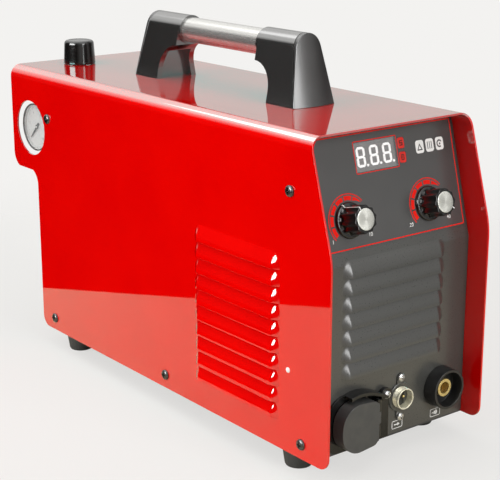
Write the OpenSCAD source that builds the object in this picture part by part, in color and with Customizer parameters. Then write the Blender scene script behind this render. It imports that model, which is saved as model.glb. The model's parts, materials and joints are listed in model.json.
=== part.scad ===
// Inverter plasma cutter: a folded sheet cover over a tray, with a moulded front,
// a carrying handle and a filter regulator under the hood at the rear.
// +X is to the right seen from the front, -Y is the front, +Z is up.

/* [Cover] */
// Width over the side walls
case_w = 150; // [146:1:162]
// Height of the cover from its lower edge to its top
case_h = 227; // [222:1:250]
// Length of the top, from the lower front edge to the end of the hood
case_len = 423; // [419:1:450]
// Length of the side walls below the hood
wall_len = 383; // [380:1:386]
// Thickness of the cover sheet
sheet_t = 1.5; // [1:0.1:1.6]
// Outside radius of the bends between the top and the sides
bend_r = 10; // [6:0.5:12]
// Radius of the rounded lower corners of the side walls
corner_r = 9; // [4:0.5:14]
// How far the front edge of the top stands behind the lower front edge
front_lean = 23; // [18:1:28]
// Height at which the front edges of the side walls start to lean back
lean_z = 148; // [140:1:152]
// Height of the underside of the hood behind the side walls
hood_z = 138; // [120:1:145]
// Radius of both curves where the hood steps out of the side walls
hood_r = 13; // [6:1:16]
// Play between the cover and the panels and tray inside it
cover_play = 0.3; // [0.2:0.05:0.5]
// Heights of the lower row of cover screws
low_screw_z = 11; // [9:0.5:13]
// Height of the upper cover screws
high_screw_z = 188; // [180:1:196]
// Distance of the middle cover screw behind the front edge
mid_screw_y = 192; // [150:1:230]
// Shank diameter of the cover screws
screw_d = 4; // [3:0.5:4.5]
// Length of the cover screws
screw_len = 6; // [5:0.5:7]
// Head diameter of the cover screws
screw_head_d = 8; // [7:0.5:9]

/* [Louvres] */
// How far each louvre stands out of its sheet
louvre_out = 3.6; // [2.5:0.1:4.5]
// Height of one louvre
louvre_h = 9; // [6:0.1:9]
// Distance from one louvre to the next
louvre_pitch = 12.1; // [11:0.1:12.4]
// Louvres on each side wall
side_louvres = 10; // [6:1:10]
// Length of the side louvres
side_louvre_len = 99; // [60:1:110]
// Distance of the side louvres behind the front edge
side_louvre_y = 52; // [52:1:66]
// Height of the lowest side louvre
side_louvre_z = 22; // [20:1:26]
// Louvres on the front panel
front_louvres = 7; // [3:1:7]
// Length of the front louvres
front_louvre_len = 97; // [60:1:110]
// Height of the lowest front louvre
front_louvre_z = 55; // [52:1:56]

/* [Front panel] */
// Distance of the front panel behind the front edges of the side walls
panel_back = 18; // [16:0.5:22]
// Wall thickness of the moulded front panel
panel_t = 2.5; // [2:0.1:3]
// Depth of the rim around the front panel
rim_len = 14; // [12:0.5:18]
// Depth of the screw lugs behind the sloping part of the front panel
lug_len = 13; // [12:0.5:15]
// Height at which the front panel starts to slope back
slope_z = 136.7; // [136:0.1:138]
// Distance of the controls' base line up the slope from the bend
film_foot = 8.7; // [7:0.1:9]
// Angle of the sloping control part from the vertical
slope_angle = 14.6; // [12:0.2:16]
// Thickness of the printed control film
film_t = 0.5; // [0.3:0.1:0.8]
// Margin between the control film and the sides of the panel
film_margin = 2.2; // [1.8:0.1:3.8]
// Margin between the control film and the top of the slope
film_head = 3.8; // [3.5:0.1:6]

/* [Controls] */
// Distance between the two knob axes
knob_pitch = 75; // [70:0.5:80]
// Offset of the pair of knobs from the middle
knob_shift = 0; // [0:0.5:2]
// Distance of the knob axes above the controls' base line
knob_v = 20.7; // [19:0.5:24]
// Diameter of the knob skirt
skirt_d = 25; // [23:0.5:27]
// Thickness of the knob skirt
skirt_t = 1.8; // [1.2:0.1:2.5]
// Diameter of the fluted knob grip
grip_d = 20; // [18:0.5:21]
// Height of a knob above the control film
knob_h = 17; // [12:0.5:18]
// Diameter of the metal disc in the knob's face
cap_d = 16; // [12:0.5:16.5]
// Flutes around a knob grip
flutes = 10; // [6:1:14]
// Diameter of the potentiometer shafts
shaft_d = 6; // [5:0.5:6.5]
// Running clearance of shafts and pins, on the radius
run_gap = 0.05; // [0.02:0.01:0.09]
// Gap between moving parts that pass each other
pass_gap = 0.4; // [0.3:0.05:0.8]
// Width of the display window
window_w = 39; // [34:0.5:42]
// Height of the display window
window_h = 21; // [18:0.5:24]
// Sideways place of the display window
window_x = -4.5; // [-8:0.5:-2]
// Height of the window's middle above the controls' base line
window_v = 61; // [58:0.5:63]
// Height of one display digit
digit_h = 14; // [12:0.5:15]
// Width of the red indicator windows beside the display
lamp_w = 6.5; // [5:0.5:7]
// Height of the red indicator windows
lamp_h = 8; // [6:0.5:8.5]

/* [Torch connection] */
// Sideways place of the torch fitting
torch_x = -40; // [-44:0.5:-38]
// Height of the torch fitting
torch_z = 21.5; // [21:0.5:23]
// Width of the hinged cover over the torch fitting
flap_w = 34; // [32:0.5:36]
// Height of the hinged cover
flap_h = 36; // [34:0.5:38]
// Distance of the hinged cover's face in front of the panel
flap_out = 13; // [12:0.5:15]
// Wall thickness of the hinged cover
flap_t = 2; // [1.6:0.1:2.4]
// Thickness of the torch connection's base plate
base_t = 2; // [1.6:0.1:2.4]
// Outside diameter of the hinge barrels
barrel_d = 5.6; // [5:0.2:6]
// Diameter of the hinge pin
pin_d = 2.4; // [2:0.1:2.8]
// Diameter of the brass torch fitting's thread
torch_d = 16; // [14:0.5:16]
// How far the brass torch fitting stands out of the panel
torch_out = 8.5; // [7:0.5:9]

/* [Sockets] */
// Sideways place of the signal socket
signal_x = 8.5; // [8:0.5:10]
// Height of the signal socket
signal_z = 28.5; // [28:0.5:30]
// Outside diameter of the signal socket's barrel
signal_d = 16; // [15:0.5:16]
// How far the signal socket's barrel stands out of the panel
signal_out = 6.5; // [6:0.5:8]
// Distance between the two socket screws
signal_screws = 30; // [29:0.5:31]
// Shank diameter of the small screws of the socket and the strap
small_screw_d = 3; // [2.5:0.5:3]
// Head diameter of the small screws
small_head_d = 6; // [5:0.5:6.5]
// Sideways place of the earth clamp socket
earth_x = 48.5; // [47:0.5:50]
// Height of the earth clamp socket
earth_z = 27; // [26:0.5:28]
// Outside diameter of the earth socket's shroud
earth_d = 30; // [28:0.5:30]
// How far the earth socket's shroud stands out of the panel
earth_out = 11; // [10:0.5:12]
// Wall thickness of the earth socket's shroud
shroud_t = 2; // [1.5:0.1:2.5]
// Diameter of the bore for the earth plug
plug_d = 9; // [8.5:0.5:9.5]
// Outside diameter of the brass earth contact
contact_d = 13.4; // [12.2:0.2:13.4]

/* [Handle] */
// Distance of the handle's middle behind the front edge
handle_y = 208; // [200:1:215]
// Length of the handle over its end caps, at its feet
handle_len = 211; // [200:1:220]
// Height of the grip tube's axis above the cover
grip_rise = 40.5; // [38:0.5:48]
// Diameter of the grip tube
grip_tube_d = 20; // [19:0.5:21]
// Wall of the posts around the grip tube
collar_t = 1.6; // [1.4:0.1:2]
// Width of a post at its foot
foot_w = 39; // [36:0.5:42]
// Depth of a post at its foot, with its end cap
leg_len = 35; // [30:0.5:38]
// How far the collar reaches along the tube beyond the leg
collar_len = 22; // [20:0.5:28]
// Slant of the post ends
end_slant = 11; // [8:0.5:13]
// Thickness of an end cap
end_cap_t = 4; // [3:0.2:5]
// Radius of the curve under the collar
crook_r = 20; // [10:1:22]
// Depth of the pocket in the inner face of a post
pocket_len = 6; // [3:0.5:8]
// Width of the rim left around the pocket
pocket_rim = 4.5; // [3:0.5:6]

/* [Air regulator] */
// Length of the neck between the gauge case and the regulator body
gauge_neck = 6.4; // [5:0.2:8]
// Gap between the rear panel and the regulator body
reg_gap = 6; // [4.5:0.5:7.5]
// Height of the gauge's axis
gauge_z = 176; // [172:0.5:180]
// Diameter of the hole in the cover in front of the gauge
gauge_hole_d = 47; // [45:0.5:49]
// Diameter of the gauge
gauge_d = 41; // [39:0.5:42]
// Distance of the gauge's face behind the cover's outer face
gauge_back = 3.6; // [3:0.2:5]
// Depth of the gauge case
gauge_len = 22; // [20:0.5:24]
// Width of the regulator body
reg_w = 38; // [36:0.5:39]
// Height of the regulator body
reg_h = 36; // [32:0.5:38]
// Diameter of the regulator's adjusting knob at its foot
reg_knob_d = 27.5; // [25:0.5:29]
// Height of the adjusting knob above the cover
reg_knob_h = 20.5; // [18:0.5:24]
// Diameter of the regulator's pressure screw
stem_d = 12; // [10:0.5:14]
// Width over the corners of the screw's six-sided end
hex_d = 10; // [8:0.5:11]
// Length of the screw's six-sided end inside the knob
stem_rise = 12; // [8:0.5:14]
// Diameter of the filter bowl
bowl_d = 34; // [30:0.5:36]
// Length of the filter bowl
bowl_len = 48; // [40:1:50]
// Travel of the drain valve
drain_travel = 2.5; // [1.5:0.1:3]

/* [Rear panel] */
// Distance of the rear panel's outer face behind the front edge
rear_y = 366.5; // [364:0.5:368]
// Depth of the rear panel's flanges
flange_len = 13; // [12:0.5:16]
// Width of the square fan
fan_w = 92; // [88:1:92]
// Depth of the fan
fan_len = 25; // [20:0.5:26]
// Gap between the fan and the side flange of the rear panel
fan_gap = 3.7; // [1:0.1:5]
// Height of the fan's axis
fan_z = 53; // [52:0.5:55]
// Diameter of the opening in the fan frame
fan_bore_d = 86; // [80:0.5:87]
// Diameter of the fan's hub
fan_hub_d = 36; // [32:0.5:40]
// Blades on the fan
blades = 7; // [5:1:9]
// Sideways place of the power switch and the cord gland
switch_x = 40; // [36:0.5:44]
// Height of the power switch
switch_z = 176; // [170:1:184]
// Height of the cord gland
gland_z = 130; // [124:1:136]
// Bore of the cord gland
gland_bore_d = 11; // [9:0.5:12]

/* [Tray and feet] */
// Height of the tray's side flanges
tray_h = 18; // [16:1:22]
// Height of the rubber feet below the cover
foot_h = 15; // [12:0.5:18]
// Diameter of a foot at its top
foot_top_d = 24; // [22:0.5:28]
// Diameter of a foot where it meets the floor
foot_end_d = 20; // [18:0.5:24]
// Distance of the feet's axes from the outer faces of the side walls
foot_inset = 15; // [13:0.5:24]
// Distance of the front feet behind the front edge
foot_front_y = 48; // [46:0.5:60]
// Distance between the front and rear feet
foot_pitch = 297; // [270:1:299]

/* [Electronics] */
// Height of the power board above the tray
board_z = 34; // [32:0.5:38]
// Gap between the power board and the side walls of the panels
board_gap = 10.2; // [8:0.1:13]
// Length of the power board
board_len = 240; // [200:1:240]
// Thickness of the circuit boards
board_t = 1.6; // [1.2:0.1:2]
// Height of the heat sinks
sink_h = 60; // [40:1:70]
// Length of a heat sink
sink_len = 80; // [60:1:85]
// Reach of a heat sink's fins
fin_len = 28; // [20:1:30]
// Fins on a heat sink
fins = 8; // [5:1:9]
// Diameter of the capacitors
can_d = 32; // [25:1:35]
// Height of the capacitors
can_h = 46; // [30:1:60]
// Width and height of the transformer core
core_w = 56; // [40:1:60]
// Depth of the transformer core
core_len = 32; // [25:1:36]
// Width of the solenoid valve
solenoid_w = 26; // [20:1:30]
// Length of the solenoid valve
solenoid_len = 40; // [30:1:44]
// Height of the solenoid valve
solenoid_h = 44.5; // [35:0.5:50]

/* [Hidden] */
$fn = 48;

cut = 0.5;                                   // overrun of every cutting tool
inner_w = case_w - 2 * sheet_t - 2 * cover_play;   // width of what sits inside the cover
inner_top = case_h - sheet_t - cover_play;   // top of what sits inside the cover
tray_t = sheet_t;                            // tray sheet; the panels stand on its upper face
inner_r = bend_r - sheet_t - cover_play;     // bend radius of the panels
slope_back = (inner_top - slope_z) * tan(slope_angle);
film_edge = 0.5;                             // lower edge of the film above the controls' base line
film_w = inner_w - 2 * film_margin;
film_h = (inner_top - slope_z) / cos(slope_angle) - film_foot - film_edge - film_head;
screw_hole_d = screw_d + 0.4;
small_hole_d = small_screw_d + 0.4;
shaft_hole_d = shaft_d + 2 * run_gap;
collar_r = grip_tube_d / 2 + collar_t;
grip_z = case_h + grip_rise;
post_screw_y = (leg_len + end_cap_t) / 2;
handle_top = grip_z + collar_r;
handle_y0 = handle_y - handle_len / 2;
rear_y0 = rear_y - sheet_t;
rear_screw_y = rear_y - 4.5;
front_screw_y = panel_back + 10;
lean_screw_y = panel_back + (high_screw_z - slope_z) * tan(slope_angle) + 10.8;
barrel_x = torch_x + flap_w / 2 + barrel_d / 2 + 2.2;
barrel_y = panel_back - base_t - barrel_d / 2 - pass_gap;
flap_y = panel_back - flap_out;
flap_back = panel_back - base_t - pass_gap;
gauge_x = -case_w / 2 + gauge_back;
reg_x = gauge_x + gauge_len + gauge_neck + reg_w / 2;
reg_y = rear_y + reg_gap + reg_w / 2;
bonnet_z = gauge_z + reg_h / 2;
bowl_z = gauge_z - reg_h / 2;
fan_x = inner_w / 2 - sheet_t - fan_gap - fan_w / 2;
fan_y = rear_y0 - fan_len;
foot_x = case_w / 2 - foot_inset;
board_w = inner_w - 2 * board_gap;
board_y = panel_back + 34;
board_top = board_z + board_t;
can_x = -board_w / 2 + 9 + can_d / 2;        // line of the capacitors and the transformer
solenoid_y = fan_y - solenoid_len - 2;

// ---------- shared shapes ----------

// places a piece drawn from the cover's lower front edge into the part's own frame
module placed() translate([0, -case_len / 2, foot_h]) children();

// points of an arc, from angle a to angle b
function arc(cx, cy, r, a, b, n = 8) =
  [for (i = [0 : n]) [cx + r * cos(a + (b - a) * i / n), cy + r * sin(a + (b - a) * i / n)]];

// rounded rectangle from one corner to the other
module round_box_2d(x0, y0, x1, y1, r)
  polygon(concat(arc(x1 - r, y0 + r, r, -90, 0), arc(x1 - r, y1 - r, r, 0, 90),
                 arc(x0 + r, y1 - r, r, 90, 180), arc(x0 + r, y0 + r, r, 180, 270)));

// rounded plate standing across the case, from y0 towards the rear
module upright_plate(w, h, r, y0, t)
  translate([0, y0 + t, 0]) rotate([90, 0, 0]) linear_extrude(t)
    round_box_2d(-w / 2, -h / 2, w / 2, h / 2, r);

// outline with two rounded top corners, standing on height z0
module arched_2d(w, z0, z1, r)
  polygon(concat([[-w / 2, z0], [w / 2, z0]],
                 arc(w / 2 - r, z1 - r, r, 0, 90), arc(-w / 2 + r, z1 - r, r, 90, 180)));

// extrudes an outline drawn in X and Z along Y, from y0 to y1
module along_y(y0, y1) translate([0, y1, 0]) rotate([90, 0, 0]) linear_extrude(y1 - y0) children();

// extrudes an outline drawn in Y and Z across the case, from x0 to x1
module along_x(x0, x1) translate([x0, 0, 0]) rotate([90, 0, 90]) linear_extrude(x1 - x0) children();

// a cylinder along Y, from y0 to y1
module rod_y(d, y0, y1) translate([0, y1, 0]) rotate([90, 0, 0]) cylinder(d = d, h = y1 - y0);

// frame on the sloping front: X right, Y up the slope, Z straight out of its face
module on_slope(x, v, out = 0)
  translate([x, panel_back, slope_z]) rotate([90 - slope_angle, 0, 0])
    translate([0, film_foot + v, out]) children();

// frame on the upright front: X right, Y up, Z straight out
module on_front(x, z, out = 0) translate([x, panel_back - out, z]) rotate([90, 0, 0]) children();

// frames on the outside of the left (-1) or right (1) wall: Y up, Z straight out
module on_side(side, y, z)
  translate([side * case_w / 2, y, z]) rotate([90, 0, side * 90]) children();

// pan head screw with a cross recess; its head stands on z = 0
module pan_screw(d, head_d, head_h, len) {
  difference() {
    rotate_extrude()
      polygon(concat([[0, 0], [head_d / 2, 0]],
                     [for (a = [15 : 15 : 90])
                        [head_d / 2 * pow(cos(a), 0.6), head_h * (0.25 + 0.75 * sin(a))]]));
    for (a = [0, 90]) rotate(a)
      translate([-head_d * 0.27, -head_d * 0.06, head_h * 0.45])
        cube([head_d * 0.54, head_d * 0.12, head_h]);
  }
  translate([0, 0, -len]) cylinder(d = d, h = len);
}

// one louvre bulge on a sheet: X along it, opening at y = 0, Z out of the sheet
module louvre_bulge(len, out, h, drop = 0) {
  steps = 5;
  outline = concat([[0, -drop], [out, -drop]],
                   [for (i = [0 : steps - 1]) [out * cos(90 * i / steps), h * i / steps]],
                   [[0, h]]);
  straight = len - 2 * out;
  translate([-straight / 2, 0, 0]) rotate([0, 90, 0]) mirror([1, 0, 0])
    linear_extrude(straight) polygon(outline);
  for (end = [-1, 1]) translate([end * straight / 2, 0, 0])
    rotate([-90, 0, 0]) rotate([0, 0, (end - 1) * 45]) rotate_extrude(angle = -90) polygon(outline);
}

// ---------- cover, tray and panels ----------

module side_outline_2d() {
  lean = atan(front_lean / (case_h - lean_z));
  turn = lean / 2;
  polygon(concat(
    arc(corner_r, corner_r, corner_r, 270, 180),
    [for (i = [0 : 4]) let(a = lean * i / 4)
       [60 * (1 - cos(a)), lean_z - 60 * tan(turn) + 60 * sin(a)]],
    [[front_lean, case_h], [case_len, case_h]],
    arc(case_len - hood_r, hood_z + hood_r, hood_r, 0, -68),
    arc(wall_len + hood_r, hood_z + hood_r - 2 * hood_r * sin(68), hood_r, 112, 180),
    arc(wall_len - corner_r, corner_r, corner_r, 0, -90)));
}

module louvre_row(count, z0, len, grow = true)
  for (i = [0 : count - 1]) translate([0, z0 + i * louvre_pitch, 0])
    if (grow) louvre_bulge(len, louvre_out, louvre_h);
    else {
      louvre_bulge(len - 2 * sheet_t, louvre_out - sheet_t, louvre_h - sheet_t, drop = cut);
      translate([-len / 2 + louvre_out, 0, -panel_t - cut])
        cube([len - 2 * louvre_out, louvre_h - 2 * sheet_t, panel_t + cut + 0.6]);
    }

module cover() color([0.85, 0.05, 0.03]) placed() difference() {
  union() {
    intersection() {
      along_y(-cut, case_len + cut) difference() {
        arched_2d(case_w, 0, case_h, bend_r);
        arched_2d(case_w - 2 * sheet_t, -cut, case_h - sheet_t, bend_r - sheet_t);
      }
      along_x(-case_w / 2 - cut, case_w / 2 + cut) side_outline_2d();
    }
    for (side = [-1, 1]) on_side(side, side_louvre_y + side_louvre_len / 2, 0)
      louvre_row(side_louvres, side_louvre_z, side_louvre_len);
  }
  for (side = [-1, 1]) {
    on_side(side, side_louvre_y + side_louvre_len / 2, 0)
      louvre_row(side_louvres, side_louvre_z, side_louvre_len, grow = false);
    for (p = cover_screw_places) on_side(side, p[0], p[1])
      translate([0, 0, -sheet_t - cut]) cylinder(d = screw_hole_d, h = sheet_t + 2 * cut);
  }
  on_side(-1, reg_y, gauge_z)
    translate([0, 0, -sheet_t - cut]) cylinder(d = gauge_hole_d, h = sheet_t + 2 * cut);
  translate([reg_x, reg_y, case_h - sheet_t - cut])
    cylinder(d = reg_knob_d - 5, h = sheet_t + 2 * cut);
  for (p = handle_screw_places) translate([p[0], p[1], case_h - sheet_t - cut])
    cylinder(d = 5.4, h = sheet_t + 2 * cut);
}

cover_screw_places = [
  [front_screw_y, low_screw_z], [mid_screw_y, low_screw_z], [rear_screw_y, low_screw_z],
  [lean_screw_y, high_screw_z], [rear_screw_y, high_screw_z]
];

module cover_screws() color([0.1, 0.1, 0.1]) placed()
  for (side = [-1, 1], p = cover_screw_places) on_side(side, p[0], p[1])
    pan_screw(screw_d, screw_head_d, 2.4, screw_len);

foot_places = [for (x = [-foot_x, foot_x], y = [0, foot_pitch]) [x, foot_front_y + y]];
standoff_places = [for (x = [-1, 1], y = [8, board_len - 8]) [x * (board_w / 2 - 6), board_y + y]];

module base_tray() color([0.7, 0.71, 0.72]) placed() {
  y0 = panel_back + rim_len + 1;
  y1 = rear_y - flange_len - 1;
  difference() {
    union() {
      translate([-inner_w / 2, panel_back + 0.5, 0])
        cube([inner_w, rear_y - panel_back - 0.5, tray_t]);
      for (side = [-1, 1]) translate([side * (inner_w - tray_t) / 2 - tray_t / 2, y0, 0])
        cube([tray_t, y1 - y0, tray_h]);
      for (p = standoff_places) translate([p[0], p[1], 0]) cylinder(d = 7, h = board_z);
    }
    for (p = foot_places) translate([p[0], p[1], -cut]) cylinder(d = screw_hole_d, h = tray_t + 2 * cut);
    for (side = [-1, 1]) on_side(side, mid_screw_y, low_screw_z)
      translate([0, 0, -6]) cylinder(d = screw_hole_d, h = 7);
  }
}

// outline of a panel in Y and Z; t is how far it reaches behind its face
module panel_side_2d(inset, t) {
  lean = inset / cos(slope_angle);
  foot = inset * tan(slope_angle / 2);
  polygon([[panel_back + inset, tray_t - 1 + (inset > 0 ? inset + 1 : 1)],
           [panel_back + inset, slope_z - foot],
           [panel_back + slope_back + lean, inner_top],
           [panel_back + slope_back + t, inner_top],
           [panel_back + t, slope_z],
           [panel_back + t, tray_t - 1 + (inset > 0 ? inset + 1 : 1)]]);
}

module front_panel() color([0.33, 0.33, 0.34]) placed() difference() {
  union() {
    difference() {
      intersection() {
        along_y(0, 90) arched_2d(inner_w, tray_t, inner_top, inner_r);
        along_x(-inner_w / 2, inner_w / 2) panel_side_2d(0, rim_len);
      }
      intersection() {
        along_y(0, 90) arched_2d(inner_w - 2 * panel_t, tray_t + panel_t, inner_top - panel_t,
                                 inner_r - panel_t);
        along_x(-inner_w / 2, inner_w / 2) panel_side_2d(panel_t, rim_len + 1);
      }
    }
    for (side = [-1, 1]) translate([side * (inner_w - panel_t) / 2 - panel_t / 2,
                                    lean_screw_y - 4, high_screw_z - 8])
      cube([panel_t, lug_len, 16]);
    on_front(0, 0) louvre_row(front_louvres, front_louvre_z, front_louvre_len);
  }
  on_front(0, 0) louvre_row(front_louvres, front_louvre_z, front_louvre_len, grow = false);
  for (x = knob_places) on_slope(x, knob_v, -panel_t - 2) cylinder(d = 7.4, h = panel_t + 4);
  on_slope(window_x - window_w / 2, window_v - window_h / 2, -panel_t - 2)
    cube([window_w, window_h, panel_t + 4]);
  for (v = lamp_places) on_slope(lamp_x, v, -panel_t - 2)
    translate([-lamp_w / 2, -lamp_h / 2, 0]) cube([lamp_w, lamp_h, panel_t + 4]);
  on_front(torch_x, torch_z, -panel_t - 2) cylinder(d = torch_d + 0.4, h = panel_t + 4);
  on_front(signal_x, signal_z, -panel_t - 2) cylinder(d = signal_d + 0.4, h = panel_t + 4);
  for (s = [-1, 1]) on_front(signal_x, signal_z + s * signal_screws / 2, -panel_t - 2)
    cylinder(d = small_hole_d, h = panel_t + 4);
  on_front(strap_screw[0], strap_screw[1], -panel_t - 2) cylinder(d = small_hole_d, h = panel_t + 4);
  on_front(earth_x, earth_z, -panel_t - 2) cylinder(d = 20.4, h = panel_t + 4);
  for (side = [-1, 1]) {
    on_side(side, front_screw_y, low_screw_z) translate([0, 0, -8]) cylinder(d = screw_hole_d, h = 9);
    on_side(side, lean_screw_y, high_screw_z) translate([0, 0, -8]) cylinder(d = screw_hole_d, h = 9);
  }
}

module rear_panel() color([0.2, 0.2, 0.21]) placed() difference() {
  along_y(rear_y - flange_len, rear_y) arched_2d(inner_w, tray_t, inner_top, inner_r);
  along_y(rear_y - flange_len - cut, rear_y0)
    arched_2d(inner_w - 2 * sheet_t, tray_t + sheet_t, inner_top - sheet_t, inner_r - sheet_t);
  translate([fan_x, 0, fan_z]) {
    rod_y(fan_bore_d - 2, rear_y0 - cut, rear_y + cut);
    for (x = [-1, 1], z = [-1, 1]) translate([x * fan_hole_pitch / 2, 0, z * fan_hole_pitch / 2])
      rod_y(screw_hole_d, rear_y0 - cut, rear_y + cut);
  }
  translate([switch_x - 14, rear_y0 - cut, switch_z - 11]) cube([28, sheet_t + 2 * cut, 22]);
  translate([switch_x, 0, gland_z]) rod_y(20.4, rear_y0 - cut, rear_y + cut);
  translate([reg_x, 0, gauge_z]) rod_y(12.4, rear_y0 - cut, rear_y + cut);
  for (side = [-1, 1], z = [low_screw_z, high_screw_z]) on_side(side, rear_screw_y, z)
    translate([0, 0, -6]) cylinder(d = screw_hole_d, h = 7);
}

// ---------- controls ----------

knob_places = [knob_shift - knob_pitch / 2, knob_shift + knob_pitch / 2];
lamp_x = window_x + window_w / 2 + lamp_w / 2 + 1.5;
lamp_places = [window_v - 5, window_v + 5];
window_t = 1;

module control_film() color([0.28, 0.28, 0.29]) placed() difference() {
  on_slope(0, 0, 0) linear_extrude(film_t)
    round_box_2d(-film_w / 2, film_edge, film_w / 2, film_edge + film_h, 5);
  for (x = knob_places) on_slope(x, knob_v, -cut) cylinder(d = 11, h = film_t + 2 * cut);
  on_slope(window_x - window_w / 2, window_v - window_h / 2, -cut)
    cube([window_w, window_h, film_t + 2 * cut]);
  for (v = lamp_places) on_slope(lamp_x - lamp_w / 2, v - lamp_h / 2, -cut)
    cube([lamp_w, lamp_h, film_t + 2 * cut]);
}

module display_window() color([0.45, 0.45, 0.47, 0.6]) placed()
  on_slope(window_x, window_v, film_t - window_t) linear_extrude(window_t)
    square([window_w, window_h], center = true);

// body of the digit module: it hangs from the board and reaches up behind the window
module display_module() color([0.5, 0.5, 0.52]) placed()
  on_slope(window_x, window_v, -board_back) linear_extrude(board_back - window_t + film_t - 0.6)
    square([window_w - 1, window_h - 1], center = true);

board_back = 14;                              // depth of the control board behind the slope
digit_pitch = 12.2;
seg_t = 1.7;

// one bar of a digit, pointed at both ends, along X
module segment(len) polygon([[-len / 2, 0], [-len / 2 + seg_t / 2, seg_t / 2],
  [len / 2 - seg_t / 2, seg_t / 2], [len / 2, 0], [len / 2 - seg_t / 2, -seg_t / 2],
  [-len / 2 + seg_t / 2, -seg_t / 2]]);

module display_segments() color([0.97, 0.97, 0.97]) placed()
  on_slope(window_x, window_v, film_t - window_t - 0.6) linear_extrude(0.5)
    for (i = [-1, 0, 1]) translate([i * digit_pitch - 0.8, 0]) {
      w = digit_h * 0.56;
      for (j = [-1, 0, 1]) translate([0, j * (digit_h - seg_t) / 2]) segment(w - seg_t - 0.4);
      for (s = [-1, 1], j = [-1, 1])
        translate([s * (w - seg_t) / 2, j * (digit_h - seg_t) / 4])
          rotate(90) segment((digit_h - seg_t) / 2 - 0.4);
      translate([w / 2 + 1.4, -digit_h / 2 + 0.9]) circle(d = 1.8, $fn = 24);
    }

module indicator_lamps() color([0.95, 0.1, 0.05]) placed()
  for (v = lamp_places) on_slope(lamp_x, v, -board_back) linear_extrude(board_back + film_t)
    round_box_2d(-lamp_w / 2 + 0.2, -lamp_h / 2 + 0.2, lamp_w / 2 - 0.2, lamp_h / 2 - 0.2, 1.6);

module control_board() color([0.1, 0.35, 0.15]) placed() difference() {
  on_slope(0, film_h / 2, -board_back - board_t) linear_extrude(board_t)
    square([film_w - 14, film_h - 10], center = true);
  for (x = knob_places) on_slope(x, knob_v, -board_back - board_t - cut)
    cylinder(d = shaft_d + 3, h = board_t + 2 * cut);
}

// potentiometer can on the board, with the threaded bush that holds the board to the panel
module potentiometers() color([0.65, 0.66, 0.66]) placed()
  for (x = knob_places) on_slope(x, knob_v, -board_back) difference() {
    union() {
      cylinder(d = 17, h = board_back - panel_t);
      cylinder(d = 7, h = board_back + film_t + 2.2);
      translate([0, 0, board_back]) cylinder(d = 10.4, h = 2, $fn = 6);
    }
    translate([0, 0, 3]) cylinder(d = shaft_hole_d, h = board_back + 6);
  }

module knob_shaft(x) placed() on_slope(x, knob_v, -board_back + 3 + pass_gap)
  cylinder(d = shaft_d, h = board_back - 3 - pass_gap + film_t + knob_h - 5);

module left_knob_shaft() color([0.75, 0.75, 0.76]) knob_shaft(knob_places[0]);
module right_knob_shaft() color([0.75, 0.75, 0.76]) knob_shaft(knob_places[1]);

// fluted grip on a thin skirt; hollow below for the bush and its nut
module knob(x, turn) placed() on_slope(x, knob_v, film_t + pass_gap) rotate(turn) {
  h = knob_h - pass_gap;
  difference() {
    union() {
      cylinder(d1 = skirt_d, d2 = skirt_d - 0.8, h = skirt_t);
      difference() {
        cylinder(d1 = grip_d + 0.6, d2 = grip_d - 0.6, h = h);
        for (i = [0 : flutes - 1]) rotate(i * 360 / flutes)
          translate([grip_d / 2 + 1.5, 0, skirt_t]) cylinder(d = 5.2, h = h);
      }
    }
    translate([0, 0, -cut]) cylinder(d = 13, h = 3.2 + cut);
    cylinder(d = shaft_hole_d, h = h - 5);
    translate([0, 0, h - 0.8]) cylinder(d = cap_d + 0.2, h = 2);
  }
}

module knob_disc(x) placed() on_slope(x, knob_v, film_t + knob_h - 0.8) cylinder(d = cap_d, h = 1.1);

module left_knob() color([0.07, 0.07, 0.07]) knob(knob_places[0], 97);
module right_knob() color([0.07, 0.07, 0.07]) knob(knob_places[1], -53);
module left_knob_disc() color([0.85, 0.85, 0.84]) knob_disc(knob_places[0]);
module right_knob_disc() color([0.85, 0.85, 0.84]) knob_disc(knob_places[1]);

// ---------- torch connection ----------

// outline of the hinged cover: straight on the hinge side, full curves on the other
module flap_2d(inset) {
  x1 = flap_w / 2 - inset;
  h = flap_h / 2 - inset;
  r = 16 - inset;
  polygon(concat([[x1, -h + 4], [x1, h - 4]], arc(x1 - 6, h - 6 - 1.2, 6, 35, 90, 4),
                 arc(-flap_w / 2 + 16, h - r, r, 90, 180, 10),
                 arc(-flap_w / 2 + 16, -h + r, r, 180, 270, 10),
                 arc(x1 - 6, -h + 6 + 1.2, 6, -90, -35, 4)));
}

flap_zs = [torch_z - flap_h / 2 + 4, torch_z + flap_h / 2 - 4];
knuckle = (flap_zs[1] - flap_zs[0]) / 3;

module torch_flap() color([0.3, 0.3, 0.31]) placed() difference() {
  union() {
    translate([torch_x, 0, torch_z]) along_y(flap_y, flap_back) flap_2d(0);
    translate([barrel_x, barrel_y, flap_zs[0] + knuckle + 0.2])
      cylinder(d = barrel_d, h = knuckle - 0.4);
    translate([torch_x + flap_w / 2 - 1, barrel_y - barrel_d / 2, flap_zs[0] + knuckle + 0.2])
      cube([barrel_x - torch_x - flap_w / 2 + 1, 1.8, knuckle - 0.4]);
  }
  translate([torch_x, 0, torch_z]) along_y(flap_y + flap_t, flap_back + cut) flap_2d(flap_t);
  translate([barrel_x, barrel_y, 0]) cylinder(d = pin_d + 2 * run_gap, h = 60);
}

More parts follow.
